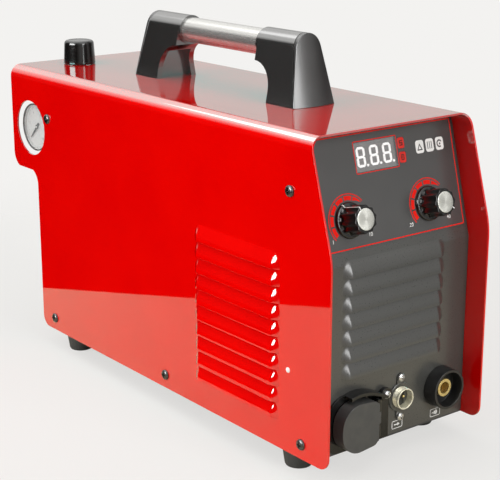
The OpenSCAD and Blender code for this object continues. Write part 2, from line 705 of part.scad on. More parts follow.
// base plate on the panel, with the two outer hinge knuckles on short arms
module torch_base() color([0.22, 0.22, 0.23]) placed() difference() {
  union() {
    along_y(panel_back - base_t, panel_back) {
      polygon(concat([[torch_x + 36, tray_t + 0.6], strap_screw + [4, 0]],
                     [for (i = [10 : -1 : 0]) strap_line[i]],
                     arc(torch_x - 6, torch_z + 7, 15, 90, 180, 8),
                     arc(torch_x - 13, tray_t + 8.6, 8, 180, 270, 5)));
      translate(strap_screw) circle(d = 9);
    }
    for (z = [flap_zs[0], flap_zs[0] + 2 * knuckle]) {
      translate([barrel_x, barrel_y, z]) cylinder(d = barrel_d, h = knuckle);
      translate([barrel_x - 1, barrel_y, z])
        cube([barrel_d / 2 + 1, panel_back - base_t - barrel_y, knuckle]);
    }
  }
  translate([barrel_x, barrel_y, flap_zs[0] + 1]) cylinder(d = pin_d + 0.02, h = 60);
  on_front(torch_x, torch_z, -cut) cylinder(d = torch_d + 0.4, h = base_t + 2 * cut);
  on_front(strap_screw[0], strap_screw[1], -cut) cylinder(d = small_hole_d, h = base_t + 2 * cut);
}

module torch_hinge_pin() color([0.7, 0.7, 0.7]) placed()
  translate([barrel_x, barrel_y, flap_zs[0] + 1]) cylinder(d = pin_d, h = 3 * knuckle - 1);

// threaded brass tail for the torch hose, with its nut behind the panel
module torch_fitting() color([0.8, 0.62, 0.3]) placed() difference() {
  translate([torch_x, panel_back, torch_z]) {
    rod_y(torch_d, -torch_out, panel_t + 20);
    translate([0, panel_t + 6, 0]) rotate([90, 0, 0]) cylinder(d = 24, h = 6, $fn = 6);
    rod_y(9, panel_t + 20, panel_t + 32);
  }
  translate([torch_x, panel_back, torch_z]) {
    rod_y(6, -torch_out - 1, panel_t + 33);
    rod_y(10, -torch_out - 1, -torch_out + 4);
  }
}

strap_screw = [torch_x + 32, torch_z + 14];
strap_t = 2.4;
lug_t = 2;                                    // the strap's lug under its screw
// upper line of the arched strap, from its left end to its screw
strap_line = [for (i = [0 : 10]) let(s = i / 10) [
  torch_x - 6 * pow(1 - s, 2) + 18 * s * (1 - s) + 30 * s * s,
  torch_z + 22 * pow(1 - s, 2) + 54 * s * (1 - s) + 15 * s * s]];

// arched strap over the hinged cover, held by one screw at its right end
module torch_strap() color([0.05, 0.05, 0.05]) placed() {
  y1 = panel_back - base_t;
  difference() {
    union() {
      along_y(y1 - 7.5, y1)
        polygon(concat(strap_line, [for (i = [10 : -1 : 0]) strap_line[i] - [0, strap_t]]));
      along_y(y1 - lug_t, y1) translate(strap_screw) circle(d = small_head_d + 4);
    }
    on_front(strap_screw[0], strap_screw[1], 0) cylinder(d = small_hole_d, h = 20);
    on_front(strap_screw[0], strap_screw[1], base_t + lug_t) cylinder(d = small_head_d + 0.8, h = 20);
  }
}

// ---------- signal and earth sockets ----------

module signal_barrel() color([0.8, 0.8, 0.76]) placed() on_front(signal_x, signal_z) difference() {
  union() {
    translate([0, 0, -panel_t - 6]) cylinder(d = signal_d, h = panel_t + 6 + signal_out);
    cylinder(d = signal_d + 6, h = 1.2);
    translate([-4, -signal_screws / 2 - 3, 0]) cube([8, signal_screws + 6, 0.9]);
    translate([0, 0, -panel_t - 3]) cylinder(d = signal_d + 6, h = 3, $fn = 6);
  }
  translate([0, 0, -panel_t - 7]) cylinder(d = signal_d - 2.4, h = panel_t + 8 + signal_out);
  for (s = [-1, 1]) translate([0, s * signal_screws / 2, -1]) cylinder(d = small_hole_d, h = 3);
}

module signal_insert() color([0.1, 0.1, 0.1]) placed() on_front(signal_x, signal_z) difference() {
  translate([0, 0, -panel_t - 6]) cylinder(d = signal_d - 2.4 - 0.1, h = panel_t + 6 + 0.5);
  for (s = [-1, 1]) translate([s * 2.6, 0, -panel_t - 7]) cylinder(d = 2.1, h = panel_t + 8);
}

module signal_pins() color([0.85, 0.7, 0.35]) placed() on_front(signal_x, signal_z)
  for (s = [-1, 1]) translate([s * 2.6, 0, -panel_t - 9]) {
    cylinder(d = 2, h = panel_t + 9 + 1.2);
    translate([0, 0, panel_t + 10.2]) sphere(d = 2, $fn = 24);
  }

module socket_screws() color([0.8, 0.8, 0.8]) placed() {
  for (s = [-1, 1]) on_front(signal_x, signal_z + s * signal_screws / 2, 0.9)
    pan_screw(small_screw_d, small_head_d, 2, 8);
  on_front(strap_screw[0], strap_screw[1], base_t + lug_t) pan_screw(small_screw_d, small_head_d, 2, 11);
}

module earth_shroud() color([0.09, 0.09, 0.09]) placed() on_front(earth_x, earth_z) difference() {
  union() {
    cylinder(d1 = earth_d + 1, d2 = earth_d, h = earth_out);
    translate([0, 0, -panel_t - 12]) cylinder(d = 20, h = panel_t + 12);
    translate([0, 0, -panel_t - 5]) cylinder(d = 27, h = 5, $fn = 6);
  }
  translate([0, 0, 1.5]) cylinder(d = earth_d - 2 * shroud_t, h = earth_out);
  translate([0, 0, -panel_t - 13]) cylinder(d = contact_d + 0.1, h = panel_t + 16);
}

module earth_contact() color([0.83, 0.68, 0.33]) placed() on_front(earth_x, earth_z) difference() {
  union() {
    translate([0, 0, -panel_t - 16]) cylinder(d = contact_d, h = panel_t + 16 + earth_out - 5);
    translate([0, 0, -panel_t - 16]) cylinder(d = 17, h = 4, $fn = 6);
  }
  translate([0, 0, -panel_t - 8]) cylinder(d = plug_d, h = panel_t + 8 + earth_out);
}

// ---------- handle ----------

// arch of a post seen along the handle: a round top on sides that spread to the foot
module arch_2d(inset) {
  r = collar_r - inset;
  hw = foot_w / 2 - inset;
  d = norm([hw, grip_rise]);
  a = atan2(-grip_rise, hw) + acos(r / d);
  polygon(concat([[-hw, case_h], [hw, case_h]], arc(0, grip_z, r, a, 180 - a, 16)));
}

// side of the front post, in Y and Z, from y0 at its foot
module leg_2d(y0, inner_y, reach) {
  rise = handle_top - case_h;
  under = grip_z - collar_r;
  polygon(concat([[y0, case_h], [y0 + end_slant, case_h + rise], [reach, case_h + rise]],
                 [[reach, under]],
                 arc(inner_y + crook_r, under - crook_r, crook_r, 90, 180, 8),
                 [[inner_y, case_h]]));
}

module post() {
  y0 = end_cap_t + 0.2;
  reach = leg_len + collar_len;
  under = grip_z - collar_r;
  difference() {
    union() {
      intersection() {
        along_y(-1, leg_len + crook_r) arch_2d(0);
        along_x(-foot_w, foot_w) leg_2d(y0, leg_len, leg_len + crook_r);
      }
      translate([0, 0, grip_z]) rod_y(2 * collar_r, y0 + end_slant, reach);
    }
    intersection() {
      along_y(leg_len - pocket_len, leg_len + crook_r) arch_2d(pocket_rim);
      along_x(-foot_w, foot_w) polygon([[leg_len - pocket_len, case_h - 1],
        [leg_len - pocket_len, under - 8], [leg_len + crook_r, under - 4], [leg_len + crook_r, case_h - 1]]);
    }
    translate([0, 0, grip_z]) rod_y(grip_tube_d + 0.1, y0 + end_slant + 3, reach + 1);
    for (x = [-8, 8]) translate([x, post_screw_y, case_h - cut]) cylinder(d = 4.2, h = 13);
  }
}

module end_cap() intersection() {
  along_y(-1, 40) arch_2d(0);
  along_x(-foot_w, foot_w)
    polygon([[0, case_h], [end_slant, handle_top + 1], [end_slant + end_cap_t, handle_top + 1],
             [end_cap_t, case_h]]);
}

handle_screw_places = [for (x = [-8, 8], y = [handle_y0 + post_screw_y,
                                              2 * handle_y - handle_y0 - post_screw_y]) [x, y]];

module at_front_end() placed() translate([0, handle_y0, 0]) children();
module at_rear_end() placed() translate([0, 2 * handle_y - handle_y0, 0]) mirror([0, 1, 0]) children();

module front_post() color([0.13, 0.13, 0.13]) at_front_end() post();
module rear_post() color([0.13, 0.13, 0.13]) at_rear_end() post();
module front_end_cap() color([0.2, 0.2, 0.2]) at_front_end() end_cap();
module rear_end_cap() color([0.2, 0.2, 0.2]) at_rear_end() end_cap();

module grip_tube() color([0.78, 0.78, 0.77]) placed() {
  inset = end_cap_t + 0.2 + end_slant + 3;
  translate([0, 0, grip_z]) difference() {
    rod_y(grip_tube_d, handle_y0 + inset, 2 * handle_y - handle_y0 - inset);
    rod_y(grip_tube_d - 3, handle_y0 + inset - 1, 2 * handle_y - handle_y0 - inset + 1);
  }
}

module handle_screws() color([0.7, 0.7, 0.7]) placed()
  for (p = handle_screw_places) translate([p[0], p[1], case_h - sheet_t]) mirror([0, 0, 1])
    pan_screw(4, 9, 2.6, 12);

// ---------- air regulator ----------

module regulator_body() color([0.25, 0.25, 0.26]) placed() translate([reg_x, reg_y, gauge_z]) difference() {
  intersection() {
    translate([0, 0, -reg_h / 2]) linear_extrude(reg_h)
      round_box_2d(-reg_w / 2, -reg_w / 2, reg_w / 2, reg_w / 2, 5);
    rotate([90, 0, 0]) translate([0, 0, -reg_w]) linear_extrude(2 * reg_w)
      round_box_2d(-reg_w / 2, -reg_h / 2, reg_w / 2, reg_h / 2, 3);
  }
  rod_y(9, -reg_w / 2 - 1, -reg_w / 2 + 8);
  rod_y(9, reg_w / 2 - 8, reg_w / 2 + 1);
  translate([-reg_w / 2 - 1, 0, 0]) rotate([0, 90, 0]) cylinder(d = 9, h = 9);
}

bonnet_top = case_h - sheet_t - pass_gap - 1.5;
module regulator_bonnet() color([0.1, 0.1, 0.1]) placed() translate([reg_x, reg_y, 0]) difference() {
  union() {
    translate([0, 0, bonnet_z]) cylinder(d = reg_w - 6, h = 12);
    translate([0, 0, bonnet_z + 12]) cylinder(d1 = reg_w - 6, d2 = 20, h = bonnet_top - bonnet_z - 12);
  }
  translate([0, 0, bonnet_z + 6]) cylinder(d = stem_d + 2 * run_gap, h = 60);
}

// pressure screw: round in the bonnet, six-sided where the knob slides on it
module regulator_stem() color([0.5, 0.5, 0.5]) placed() translate([reg_x, reg_y, 0]) {
  translate([0, 0, bonnet_z + 8]) cylinder(d = stem_d, h = case_h - bonnet_z - 8);
  translate([0, 0, case_h]) cylinder(d = hex_d, h = stem_rise, $fn = 6);
}

// adjusting knob: it turns the screw, and lifts to free it and drops to lock it
module regulator_knob() color([0.04, 0.04, 0.04]) placed() translate([reg_x, reg_y, 0]) {
  r = reg_knob_d / 2;
  z0 = case_h + pass_gap;
  z1 = case_h + reg_knob_h;
  difference() {
    rotate_extrude()
      polygon(concat([[0, z0], [r, z0]], arc(r - 1 - 2, z1 - 2, 2, 5, 90, 5), [[0, z1]]));
    translate([0, 0, z0 - cut]) cylinder(d = hex_d + 4 * run_gap, h = stem_rise + cut, $fn = 6);
  }
}

// plate clamped between bonnet and body, with a flange on the rear panel
module regulator_bracket() color([0.6, 0.6, 0.6]) placed() {
  z = bonnet_z;
  w = reg_w;
  difference() {
    union() {
      translate([reg_x - w / 2, rear_y, z]) cube([w, reg_y - rear_y + 14, 2]);
      translate([reg_x - w / 2, rear_y, z]) cube([w, 2, 20]);
    }
    translate([reg_x, reg_y, z - 1]) cylinder(d = reg_w - 6 + 0.1, h = 4);
  }
}

module filter_bowl() color([0.75, 0.78, 0.8, 0.6]) placed() translate([reg_x, reg_y, 0]) difference() {
  union() {
    translate([0, 0, bowl_z - bowl_len + bowl_d / 4]) cylinder(d = bowl_d, h = bowl_len - bowl_d / 4);
    translate([0, 0, bowl_z - bowl_len + bowl_d / 4]) rotate_extrude() intersection() {
      circle(d = bowl_d);
      translate([0, -bowl_d / 4]) square([bowl_d, bowl_d / 2]);
    }
  }
  translate([0, 0, bowl_z - bowl_len + 6]) cylinder(d = bowl_d - 5, h = bowl_len);
  translate([0, 0, bowl_z - bowl_len - 1]) cylinder(d = 5 + 2 * run_gap, h = 9);
}

module drain_valve() color([0.1, 0.1, 0.1]) placed() translate([reg_x, reg_y, bowl_z - bowl_len]) {
  translate([0, 0, -drain_travel - 5]) cylinder(d = 9, h = 4.7);
  translate([0, 0, -drain_travel - 1]) cylinder(d = 5, h = drain_travel + 10);
  translate([0, 0, 6.3]) cylinder(d = 9, h = 2.5);
}

// hose tail for the air supply, pointing to the rear
module air_inlet() color([0.8, 0.62, 0.3]) placed()
  translate([reg_x, reg_y + reg_w / 2, gauge_z]) difference() {
  union() {
    rod_y(8.9, -7, 0);
    translate([0, 3, 0]) rotate([90, 0, 0]) cylinder(d = 13, h = 3, $fn = 6);
    rod_y(8, 3, case_len - reg_y - reg_w / 2 - 1);
  }
  rod_y(4.5, -8, 40);
}

// nipple through the rear panel, then the hose down to the valve
module air_outlet() color([0.15, 0.15, 0.16]) placed() {
  y = rear_y0 - 18;
  top = [reg_x, y, gauge_z];
  hose_z = tray_t + solenoid_h;
  end = [torch_x, solenoid_y + solenoid_len / 2, hose_z + 16];
  translate([reg_x, 0, gauge_z]) rod_y(8.9, y, reg_y - reg_w / 2 + 7);
  translate([reg_x, 0, gauge_z]) rod_y(15, rear_y, reg_y - reg_w / 2);
  translate(top) sphere(d = 11);
  d = end - top;
  translate(top) rotate([0, acos(d[2] / norm(d)), atan2(d[1], d[0])]) cylinder(d = 8, h = norm(d));
  translate(end) sphere(d = 9.5);
  translate([end[0], end[1], hose_z]) cylinder(d = 8, h = end[2] - hose_z);
}

module facing_left() translate([gauge_x, reg_y, gauge_z]) rotate([0, -90, 0]) children();

module gauge_case() color([0.12, 0.12, 0.12]) placed() facing_left() difference() {
  union() {
    translate([0, 0, -gauge_len]) cylinder(d = gauge_d, h = gauge_len);
    translate([0, 0, -(reg_x - reg_w / 2 - gauge_x) - 7]) cylinder(d = 8.9, h = 8);
    translate([0, 0, -(reg_x - reg_w / 2 - gauge_x)])
      cylinder(d = 14, h = reg_x - reg_w / 2 - gauge_x - gauge_len, $fn = 6);
  }
  translate([0, 0, -8]) cylinder(d = gauge_d - 2, h = 9);
}

module gauge_dial() color([0.93, 0.93, 0.92]) placed() facing_left() {
  translate([0, 0, -8]) cylinder(d = gauge_d - 2.2, h = 4.9);
  translate([0, 0, -3.1]) cylinder(d = 1.6, h = 1.6);
}

// pointer on its arbor; it rests against the zero stop, lower left of the dial
module gauge_needle() color([0.05, 0.05, 0.05]) placed() facing_left() translate([0, 0, -2.7]) difference() {
  union() {
    cylinder(d = 4, h = 0.7);
    rotate(45) linear_extrude(0.7)
      polygon([[-1, -5], [1, -5], [1, 0], [0.25, gauge_d * 0.36], [-0.25, gauge_d * 0.36], [-1, 0]]);
  }
  translate([0, 0, -cut]) cylinder(d = 1.6 + 2 * run_gap, h = 2);
}

module gauge_glass() color([0.85, 0.9, 0.92, 0.35]) placed() facing_left()
  translate([0, 0, -1.3]) cylinder(d = gauge_d - 2.2, h = 1.2);

// ---------- rear: fan, switch and gland ----------

fan_hole_pitch = fan_w - 9.5;

module at_fan() translate([fan_x, fan_y, fan_z]) children();

module fan_frame() color([0.1, 0.1, 0.1]) placed() at_fan() difference() {
  union() {
    difference() {
      union() {
        upright_plate(fan_w, fan_w, 5, 0, 4);
        upright_plate(fan_w, fan_w, 5, fan_len - 4, 4);
        rod_y(fan_bore_d + 4, 2, fan_len - 2);
      }
      rod_y(fan_bore_d, -cut, fan_len + cut);
    }
    rod_y(fan_hub_d, 0, 3.5);
    for (a = [45 : 90 : 315]) rotate([0, a, 0]) translate([-2.5, 0.3, 10])
      cube([5, 2.9, fan_bore_d / 2 - 9]);
    rod_y(5, 1, 12);
  }
  for (x = [-1, 1], z = [-1, 1]) translate([x * fan_hole_pitch / 2, 0, z * fan_hole_pitch / 2])
    rod_y(screw_hole_d, -cut, fan_len + cut);
}

module fan_rotor() color([0.14, 0.14, 0.14]) placed() at_fan() difference() {
  union() {
    rod_y(fan_hub_d, 3.5 + pass_gap, fan_len - 1);
    intersection() {
      for (i = [0 : blades - 1]) rotate([0, i * 360 / blades, 0]) rotate([0, 0, 38])
        translate([-14, 10, 14]) cube([28, 1.6, fan_bore_d]);
      difference() {
        rod_y(fan_bore_d - 2, 5, fan_len - 2);
        rod_y(fan_hub_d - 2, 4, fan_len);
      }
    }
  }
  rod_y(5 + 2 * run_gap, 3, 12.4);
}

module fan_guard() color([0.75, 0.75, 0.76]) placed() at_fan() translate([0, fan_len + sheet_t, 0]) {
  for (r = [10 : 8.2 : fan_bore_d / 2]) rotate([-90, 0, 0]) translate([0, 0, 1.9])
    rotate_extrude() translate([r, 0]) circle(d = 2.2, $fn = 24);
  for (a = [45 : 90 : 315]) rotate([0, a, 0]) {
    translate([0, 3.2, 9]) cylinder(d = 2.2, h = fan_hole_pitch / sqrt(2) - 9 - 3);
    translate([0, 0, fan_hole_pitch / sqrt(2)]) {
      difference() {
        rod_y(9, 0, 2);
        rod_y(4.4, -1, 3);
      }
      rod_y(4, -12, 2);
      translate([0, 2, 0]) rotate([-90, 0, 0]) cylinder(d = 7, h = 2);
    }
    translate([-1.5, 0, fan_hole_pitch / sqrt(2) - 8]) cube([3, 4, 5]);
  }
}

module power_switch() color([0.08, 0.08, 0.08]) placed()
  translate([switch_x, rear_y, switch_z]) difference() {
  union() {
    upright_plate(32, 26, 2, 0, 2);
    upright_plate(27.6, 21.6, 1, -22, 22.5);
  }
  translate([-11.4, -11, -8]) cube([22.8, 14, 16]);
  translate([-12.6, -3, 0]) rotate([0, 90, 0]) cylinder(d = 2.4, h = 25.2);
}

rocker_tip = 9;
module switch_rocker() color([0.85, 0.1, 0.05]) placed() translate([switch_x, rear_y - 3, switch_z]) {
  along_x(-11, 11) rotate(-rocker_tip)
    polygon(concat([[-2, -7], [5, -7]], [for (a = [-6 : 2 : 6]) [5 - 1.4 * cos(a * 15), a]],
                   [[5, 7], [-2, 7]]));
  translate([-12.5, 0, 0]) rotate([0, 90, 0]) cylinder(d = 2.4 - 2 * run_gap, h = 25);
}

module cord_gland() color([0.1, 0.1, 0.1]) placed() translate([switch_x, rear_y, gland_z]) difference() {
  union() {
    rotate([-90, 0, 0]) cylinder(d = 27, h = 5, $fn = 6);
    rod_y(20, -12, 0);
    translate([0, 14, 0]) rotate([90, 0, 0]) cylinder(d1 = 17, d2 = 22, h = 9);
    translate([0, -sheet_t, 0]) rotate([90, 0, 0]) cylinder(d = 27, h = 5, $fn = 6);
  }
  rod_y(gland_bore_d, -13, 15);
}

// ---------- feet and inside ----------

module feet() color([0.08, 0.08, 0.08]) placed() for (p = foot_places) translate([p[0], p[1], -foot_h])
  rotate_extrude() {
    r0 = foot_end_d / 2;
    r1 = foot_top_d / 2;
    polygon(concat([[2.2, foot_h]], [[2.2, 8], [5.5, 8], [5.5, 0]], arc(r0 - 1.5, 1.5, 1.5, -90, 0, 4),
                   [[r1, foot_h - 1]], [[r1 - 0.8, foot_h]]));
  }

module foot_screws() color([0.7, 0.7, 0.7]) placed() for (p = foot_places)
  translate([p[0], p[1], -foot_h + 8]) mirror([0, 0, 1]) pan_screw(screw_d, 9, 2.8, 12);

// circuit board with its row of three capacitors
module power_board() color([0.1, 0.35, 0.15]) placed() {
  translate([-board_w / 2, board_y, board_z]) cube([board_w, board_len, board_t]);
  for (i = [0, 1, 2]) translate([can_x, board_y + 22 + can_d / 2 + (can_d + 8) * i, board_top])
    cylinder(d = can_d, h = can_h);
}

module heat_sinks() color([0.78, 0.79, 0.8]) placed()
  for (i = [0, 1]) translate([board_w / 2 - 51, board_y + 20 + (sink_len + 10) * i, board_top]) {
    cube([5, sink_len, sink_h]);
    for (j = [0 : fins - 1]) translate([5, 0, 3 + j * (sink_h - 5) / (fins - 1)])
      cube([fin_len, sink_len, 2]);
  }

module transformer() color([0.25, 0.22, 0.2]) placed() {
  y = board_y + 22 + 3 * (can_d + 8) + 32;
  translate([can_x, y, board_top]) difference() {
    translate([-core_w / 2, 0, 0]) cube([core_w, core_len, core_w]);
    for (x = [-core_w / 4, core_w / 4]) translate([x - 6, -1, 12]) cube([12, core_len + 2, core_w - 24]);
  }
}

// valve on the tray, with the straight hose from it to the torch fitting
module solenoid_valve() color([0.3, 0.3, 0.32]) placed() {
  translate([torch_x - solenoid_w / 2, solenoid_y, tray_t]) cube([solenoid_w, solenoid_len, solenoid_h]);
  translate([torch_x, solenoid_y, torch_z]) rotate([90, 0, 0])
    cylinder(d = 8, h = solenoid_y - panel_back - panel_t - 32);
}

cover();
base_tray();
front_panel();
rear_panel();
cover_screws();
control_film();
display_window();
display_module();
display_segments();
indicator_lamps();
control_board();
potentiometers();
left_knob_shaft();
right_knob_shaft();
left_knob();
right_knob();
left_knob_disc();
right_knob_disc();
torch_base();
torch_flap();
torch_hinge_pin();
torch_fitting();
torch_strap();
signal_barrel();
signal_insert();
signal_pins();
socket_screws();
earth_shroud();
earth_contact();
front_post();
rear_post();
front_end_cap();
rear_end_cap();
grip_tube();
handle_screws();
regulator_body();
regulator_bonnet();
regulator_stem();
regulator_knob();
regulator_bracket();
filter_bowl();
drain_valve();
air_inlet();
air_outlet();
gauge_case();
gauge_dial();
gauge_needle();
gauge_glass();
fan_frame();
fan_rotor();
fan_guard();
power_switch();
switch_rocker();
cord_gland();
feet();
foot_screws();
power_board();
heat_sinks();
transformer();
solenoid_valve();
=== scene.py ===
# Inverter plasma cutter, dressed: every section makes one piece or group of like pieces of the machine.
import json
from math import acos, atan, atan2, cos, hypot, pi, radians, sin, sqrt, tan

import bmesh
import bpy
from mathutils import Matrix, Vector
from mathutils.geometry import delaunay_2d_cdt


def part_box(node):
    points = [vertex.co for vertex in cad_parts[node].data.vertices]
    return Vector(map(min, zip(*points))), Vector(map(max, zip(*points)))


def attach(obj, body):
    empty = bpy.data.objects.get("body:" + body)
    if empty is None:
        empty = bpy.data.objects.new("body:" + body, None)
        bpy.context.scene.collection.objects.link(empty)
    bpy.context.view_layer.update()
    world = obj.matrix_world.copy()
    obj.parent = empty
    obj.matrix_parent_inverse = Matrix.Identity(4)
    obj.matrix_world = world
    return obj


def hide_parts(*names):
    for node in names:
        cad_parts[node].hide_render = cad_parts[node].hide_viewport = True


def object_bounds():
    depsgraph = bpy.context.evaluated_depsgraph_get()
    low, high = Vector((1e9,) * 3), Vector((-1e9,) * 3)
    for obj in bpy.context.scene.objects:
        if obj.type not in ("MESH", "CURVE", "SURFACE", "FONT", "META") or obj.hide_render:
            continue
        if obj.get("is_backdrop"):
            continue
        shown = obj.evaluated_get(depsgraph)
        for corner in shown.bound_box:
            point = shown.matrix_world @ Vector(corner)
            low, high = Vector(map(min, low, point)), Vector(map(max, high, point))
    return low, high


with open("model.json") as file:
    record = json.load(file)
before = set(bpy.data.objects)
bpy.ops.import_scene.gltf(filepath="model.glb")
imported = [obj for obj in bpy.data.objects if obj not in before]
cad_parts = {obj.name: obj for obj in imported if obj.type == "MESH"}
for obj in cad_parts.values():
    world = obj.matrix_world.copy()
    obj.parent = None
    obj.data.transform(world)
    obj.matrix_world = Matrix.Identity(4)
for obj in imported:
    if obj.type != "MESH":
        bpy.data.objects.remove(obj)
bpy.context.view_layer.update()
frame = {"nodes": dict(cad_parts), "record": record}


# ---------- Studio ----------
# A table top of white board in a white room, with soft boxes on the left, in front and overhead, and one at
# the side for glints alone. The glossy side wall mirrors a dark cloth on the floor beyond the table's edge.
def linear(code, alpha=1):
    """Linear colour with alpha from an sRGB hex code."""
    parts = [int(code[i:i + 2], 16) / 255 for i in (1, 3, 5)]
    return tuple(c / 12.92 if c <= 0.04045 else ((c + 0.055) / 1.055) ** 2.4 for c in parts) + (alpha,)


def add(tree, kind, links=None, values=None, stops=None, **settings):
    """A node of that kind: settings are its properties, values the numbers of its inputs, stops a ramp's
    places and colours; links feed an input from a node's first output, or from (node, output)."""
    node = tree.nodes.new(kind)
    for key, value in settings.items():
        setattr(node, key, value)
    for key, value in (values or {}).items():
        node.inputs[key].default_value = value
    for key, source in (links or {}).items():
        source, name = source if isinstance(source, tuple) else (source, 0)
        tree.links.new(source.outputs[name], node.inputs[key])
    for i, (place, colour) in enumerate(stops or []):
        ramp = node.color_ramp.elements
        stop = ramp[i] if i < 2 else ramp.new(place)
        stop.position = place
        stop.color = linear(colour) if isinstance(colour, str) else (colour, colour, colour, 1)
    return node


def new_material(name):
    """An empty material, its node tree, and coordinates in metres on the piece itself."""
    material = bpy.data.materials.new(name)
    material.use_nodes = True
    material.node_tree.nodes.clear()
    return material, material.node_tree, (add(material.node_tree, "ShaderNodeTexCoord"), "Object")


def linked(name, data):
    """An object of that data in the scene."""
    thing = bpy.data.objects.new(name, data)
    scene.collection.objects.link(thing)
    return thing


mm = 0.001
scene = bpy.context.scene
scene.view_settings.view_transform = "Standard"
camera = linked("camera", bpy.data.cameras.new("camera"))
camera.data.sensor_width = 36
camera.data.lens = 95.67
camera.location = (-0.62074, -0.82371, 0.41372)
camera.rotation_euler = (radians(90 - 16.01), 0, radians(-38.05))
scene.camera = camera

backdrop = linear("#F3F2F0")
world = bpy.data.worlds.new("white_room")
scene.world = world
world.use_nodes = True
tree = world.node_tree
tree.nodes.clear()
path = add(tree, "ShaderNodeLightPath")
way = add(tree, "ShaderNodeTexCoord")
# Glossy surfaces see a bright wall on the right, a dimmer one in front, and a brighter ceiling.
sides = []
for toward, edge, full, light in (((0.75, 0, 0.65), -0.22, -0.08, 0.86), ((0.1, -0.95, 0.3), 0.5, 0.9, 0.75)):
    part = add(tree, "ShaderNodeVectorMath", {0: (way, "Generated")}, {1: toward}, operation="DOT_PRODUCT")
    sides.append(add(tree, "ShaderNodeMapRange", {"Value": (part, "Value")},
                     {"From Min": edge, "From Max": full, "To Min": 0.02, "To Max": light},
                     interpolation_type="SMOOTHSTEP"))
upward = add(tree, "ShaderNodeSeparateXYZ", {0: (way, "Generated")})
behind = add(tree, "ShaderNodeMapRange", {"Value": (upward, "Y")}, {"From Min": -0.4, "From Max": 0.1})
right_wall = add(tree, "ShaderNodeMath", {0: sides[0], 1: behind}, operation="MULTIPLY")
walls = add(tree, "ShaderNodeMath", {0: right_wall, 1: sides[1]}, operation="MAXIMUM")
ceiling = add(tree, "ShaderNodeMapRange", {"Value": (upward, "Z")},
              {"From Min": 0.3, "From Max": 0.45, "To Min": 1, "To Max": 1.8})
walls = add(tree, "ShaderNodeMath", {0: walls, 1: ceiling}, operation="MULTIPLY")
mirrored = add(tree, "ShaderNodeMix", {0: (path, "Is Glossy Ray"), 3: walls}, {2: 0.27})
ambient = add(tree, "ShaderNodeBackground", {"Strength": mirrored}, {"Color": backdrop})
seen = add(tree, "ShaderNodeBackground", values={"Color": backdrop, "Strength": 1})
both = add(tree, "ShaderNodeMixShader", {0: (path, "Is Camera Ray"), 1: ambient, 2: seen})
add(tree, "ShaderNodeOutputWorld", {"Surface": both})

for name, place, size, power in (
        ("soft_box_left", (-2.2, 0.7, 0.95), (1.5, 1.5), 40),
        ("soft_box_side", (-2.2, 0.1, 0.95), (1.7, 1.1), 110),
        ("soft_box_front", (0.2, -2.1, 0.9), (0.8, 1.4), 26),
        ("soft_box_top", (-0.2, 0.2, 2.2), (3.2, 3.2), 56)):
    lamp = bpy.data.lights.new(name, "AREA")
    lamp.shape, lamp.size, lamp.size_y, lamp.energy = "RECTANGLE", size[0], size[1], power
    box = linked(name, lamp)
    box.location = place
    box.rotation_euler = (Vector((0, 0, 0.12)) - Vector(place)).to_track_quat("-Z", "Y").to_euler()
    box.visible_camera = False
    box.visible_glossy = name != "soft_box_left"
    box.visible_diffuse = name != "soft_box_side"


def stage_sheet(name, corners, material):
    """A flat piece of the set that isn't part of the machine."""
    mesh = bpy.data.meshes.new(name)
    mesh.from_pydata(corners, [], [range(len(corners))])
    mesh.materials.append(material)
    sheet = linked(name, mesh)
    sheet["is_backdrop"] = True
    return sheet


white_board, tree, spot = new_material("white_table_board")
far = add(tree, "ShaderNodeVectorMath", {0: spot}, operation="LENGTH")
fade = add(tree, "ShaderNodeMapRange", {"Value": (far, "Value")}, {"From Min": 0.45, "From Max": 0.8},
           interpolation_type="SMOOTHSTEP")
path = add(tree, "ShaderNodeLightPath")
shown = add(tree, "ShaderNodeMath", {0: (path, "Is Camera Ray")}, {1: 0.72}, operation="MULTIPLY")
warmth = add(tree, "ShaderNodeMix", {"Factor": (path, "Is Glossy Ray")}, data_type="RGBA")
warmth.inputs[6].default_value, warmth.inputs[7].default_value = linear("#D0CFCC"), linear("#CCC3AC")
lit = add(tree, "ShaderNodeBsdfDiffuse", {"Color": (warmth, 2)})
glow = add(tree, "ShaderNodeEmission", values={"Color": backdrop, "Strength": 1})
board = add(tree, "ShaderNodeMixShader", {0: shown, 1: lit, 2: glow})
clear = add(tree, "ShaderNodeBsdfTransparent")
rim = add(tree, "ShaderNodeMixShader", {0: fade, 1: board, 2: clear})
add(tree, "ShaderNodeOutputMaterial", {"Surface": rim})
stage_sheet("table", [(-3, -3, 0), (3, -3, 0), (3, 3, 0), (-3, 3, 0)], white_board)

dark_cloth, tree, spot = new_material("dark_floor_cloth")
cloth = add(tree, "ShaderNodeBsdfDiffuse", values={"Color": linear("#050505")})
add(tree, "ShaderNodeOutputMaterial", {"Surface": cloth})
flag = stage_sheet("dark_cloth", [(0.02, 0.5, 0.001), (-0.56, -0.2, 0.001), (-2.6, -0.2, 0.001),
                                  (-2.6, 2.4, 0.001), (0.02, 2.4, 0.001)], dark_cloth)
flag.visible_camera = flag.visible_diffuse = flag.visible_shadow = False


# ---------- Cover ----------
# One sheet of 1.5 mm steel, punched flat, with ten louvres pressed out of each side, then folded round two
# 10 mm bends. It is powder coated in a high gloss red with a faint orange peel.
case_w, case_h, bend_r, sheet_t = 150, 227, 10, 1.5
cover_low, cover_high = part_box("cover")
case_len = (cover_high.y - cover_low.y) / mm


def case_point(x, y, z):
    """A place in millimetres from the cover's lower front edge, in the part's frame."""
    return Vector((x * mm, y * mm + cover_low.y, z * mm + cover_low.z))


def arc(cx, cy, r, a, b, steps):
    """Points of an arc from a to b degrees."""
    turns = [radians(a + (b - a) * i / steps) for i in range(steps + 1)]
    return [(cx + r * cos(t), cy + r * sin(t)) for t in turns]


